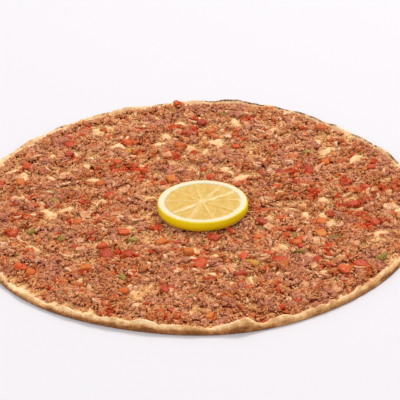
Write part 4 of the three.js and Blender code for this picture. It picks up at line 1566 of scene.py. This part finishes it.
# %% [markdown]
# The flesh fills the hoop of rind. Its rings are close together, since the fine sacs have to be
# drawn by them, and it starts just inside the rind's inner wall.

# %% Rings of the flesh
FLESH_RINGS = 56
FLESH_HOLE = 0.5  # mm, radius of the last ring, which a small face closes

flesh_edge = LEMON_FLESH_RADIUS + 0.15
flesh_rings = [(flesh_edge - 1.2, 0.05), (flesh_edge, 1.0), (flesh_edge, TOP - 1.2), (flesh_edge, TOP - 0.55)]
flesh_rings += [(flesh_edge - (flesh_edge - FLESH_HOLE) * (k + 1) / FLESH_RINGS, TOP)
                for k in range(FLESH_RINGS)]
flesh = draw_rings("lemon_flesh", flesh_rings, LEMON_COLUMNS)
print("flesh vertices:", len(flesh.data.vertices))

# %% [markdown]
# The flesh is parted into ten uneven segments by pale membranes that run to a white core. Each
# vertex asks how far it is from the nearest membrane and settles lower between them, over the
# long drop-shaped sacs that hold the juice.

# %% Settle the flesh between its membranes
LEMON_CORE_RADIUS = 2.4
FLESH_SUNK = 0.5
DEEPEST = 0.8
MEMBRANE_HALF = 0.42
FLESH_MAP_WIDTH = 62
SEGMENT_START = 3
SEGMENT_SPANS = [30, 28, 41, 40, 36, 38, 31, 38, 42, 36]
MEMBRANES = np.radians(SEGMENT_START + np.concatenate([[0], np.cumsum(SEGMENT_SPANS)[:-1]]))


def settle_flesh(piece):
    x, y, z = places(piece).T
    angle, radius = np.arctan2(y, x), np.hypot(x, y)
    turned = np.abs(np.angle(np.exp(1j * (angle[:, None] - MEMBRANES[None, :]))))
    wander = 0.35 * noise(radius, angle * 3, 5, 71)
    from_membrane = np.abs(turned.min(axis=1) * radius + wander * smooth(radius, 4, 12))
    membrane = np.exp(-(from_membrane / MEMBRANE_HALF) ** 2)
    from_core = smooth(radius, LEMON_CORE_RADIUS - 0.8, LEMON_CORE_RADIUS + 0.8)
    rim = smooth(LEMON_FLESH_RADIUS - radius, 0.0, 0.8)
    across = from_membrane + 20 * turned.argmin(axis=1)
    sacs, own = cells(across, radius / 2.4, 1.25, 72)
    sunk = FLESH_SUNK * smooth(from_membrane, 0.2, 2.4) + 0.12 * sacs - 0.06 * own
    sunk = sunk * from_core * (1 - 0.85 * membrane) + 0.25 * (1 - rim)
    top = z > TOP - 0.6
    z = np.where(top, TOP - 0.02 - np.clip(sunk, 0, DEEPEST), z)
    settle(piece, lay_on_mince(x, y, z))
    paint(piece, membrane=np.maximum(membrane, 1 - from_core) * top, sac=own * (1 - membrane),
          rim=(1 - rim) * top)
    unrolled = np.where(top, radius, flesh_edge + (TOP - z) * 0.5)
    lay_round_map(piece, unrolled, angle, FLESH_MAP_WIDTH)


settle_flesh(flesh)
smooth_shade(flesh)
print("segments:", len(MEMBRANES), "and sizes add up to", sum(SEGMENT_SPANS), "degrees")

# %% [markdown]
# The rind's gloss sits on pores, the pith is chalky white, and the flesh is wet and lets light
# in, so it needs a clear surface over a scattering body.

# %% Finishes of the lemon
PEEL_SHADES = [(0.3, (236, 208, 0)), (0.7, (246, 224, 6))]
PEEL_TINT_AND_SHADE_BELOW = (190, 128, 0)
PITH_SHADES = [(0.3, (224, 208, 172)), (0.7, (230, 217, 190))]
PULP_SHADES = [(0.0, (206, 162, 66)), (0.5, (214, 173, 80)), (1.0, (220, 184, 96))]
MEMBRANE = (232, 208, 148)
PULP_RIM = (226, 204, 146)


def rind_finish():
    rind_skin = Finish("lemon_rind", Roughness=0.42, Specular_IOR_Level=0.25, Subsurface_Weight=0.1,
                       Subsurface_Scale=0.002)
    peel = rind_skin.ramp(rind_skin.mottle(300, 1200), PEEL_SHADES)
    # The lower peel is painted darker: partly a deeper yellow, partly painted shade.
    below = rind_skin.stretch(rind_skin.mask("bottom"), 0.1, 1.0, 0.0, 0.6)
    peel = rind_skin.over(below, PEEL_TINT_AND_SHADE_BELOW, peel)
    pith = rind_skin.ramp(rind_skin.mottle(400, 1300), PITH_SHADES)
    rind_skin.colour(rind_skin.over(rind_skin.mask("zest"), peel, pith))
    rind_skin.bump(rind_skin.mottle(700, 1500, 0.4), 0.2, 0.35)
    return rind_skin


def flesh_finish():
    wet = Finish("lemon_flesh", Roughness=0.34, Specular_IOR_Level=0.35, Subsurface_Weight=0.35,
                 Subsurface_Scale=0.004, Coat_Weight=0.1, Coat_Roughness=0.25)
    sac = wet.mask("sac")
    tone = wet.maths("ADD", sac, wet.stretch(wet.mottle(250, 900), 0.3, 0.7, -0.2, 0.2))
    pulp = wet.ramp(tone, PULP_SHADES)
    pulp = wet.over(wet.stretch(wet.mask("membrane"), 0.1, 1.0, 0.0, 0.8), MEMBRANE, pulp)
    pulp = wet.over(wet.stretch(wet.mask("rim"), 0.2, 1.0, 0.0, 0.8), PULP_RIM, pulp)
    wet.colour(pulp)
    wet.bump(wet.mottle(350, 1100), 0.15, 0.4)
    return wet


for piece, finish in ((rind, rind_finish()), (flesh, flesh_finish())):
    finish.give(piece)
    keep(piece, "lemon_slice")
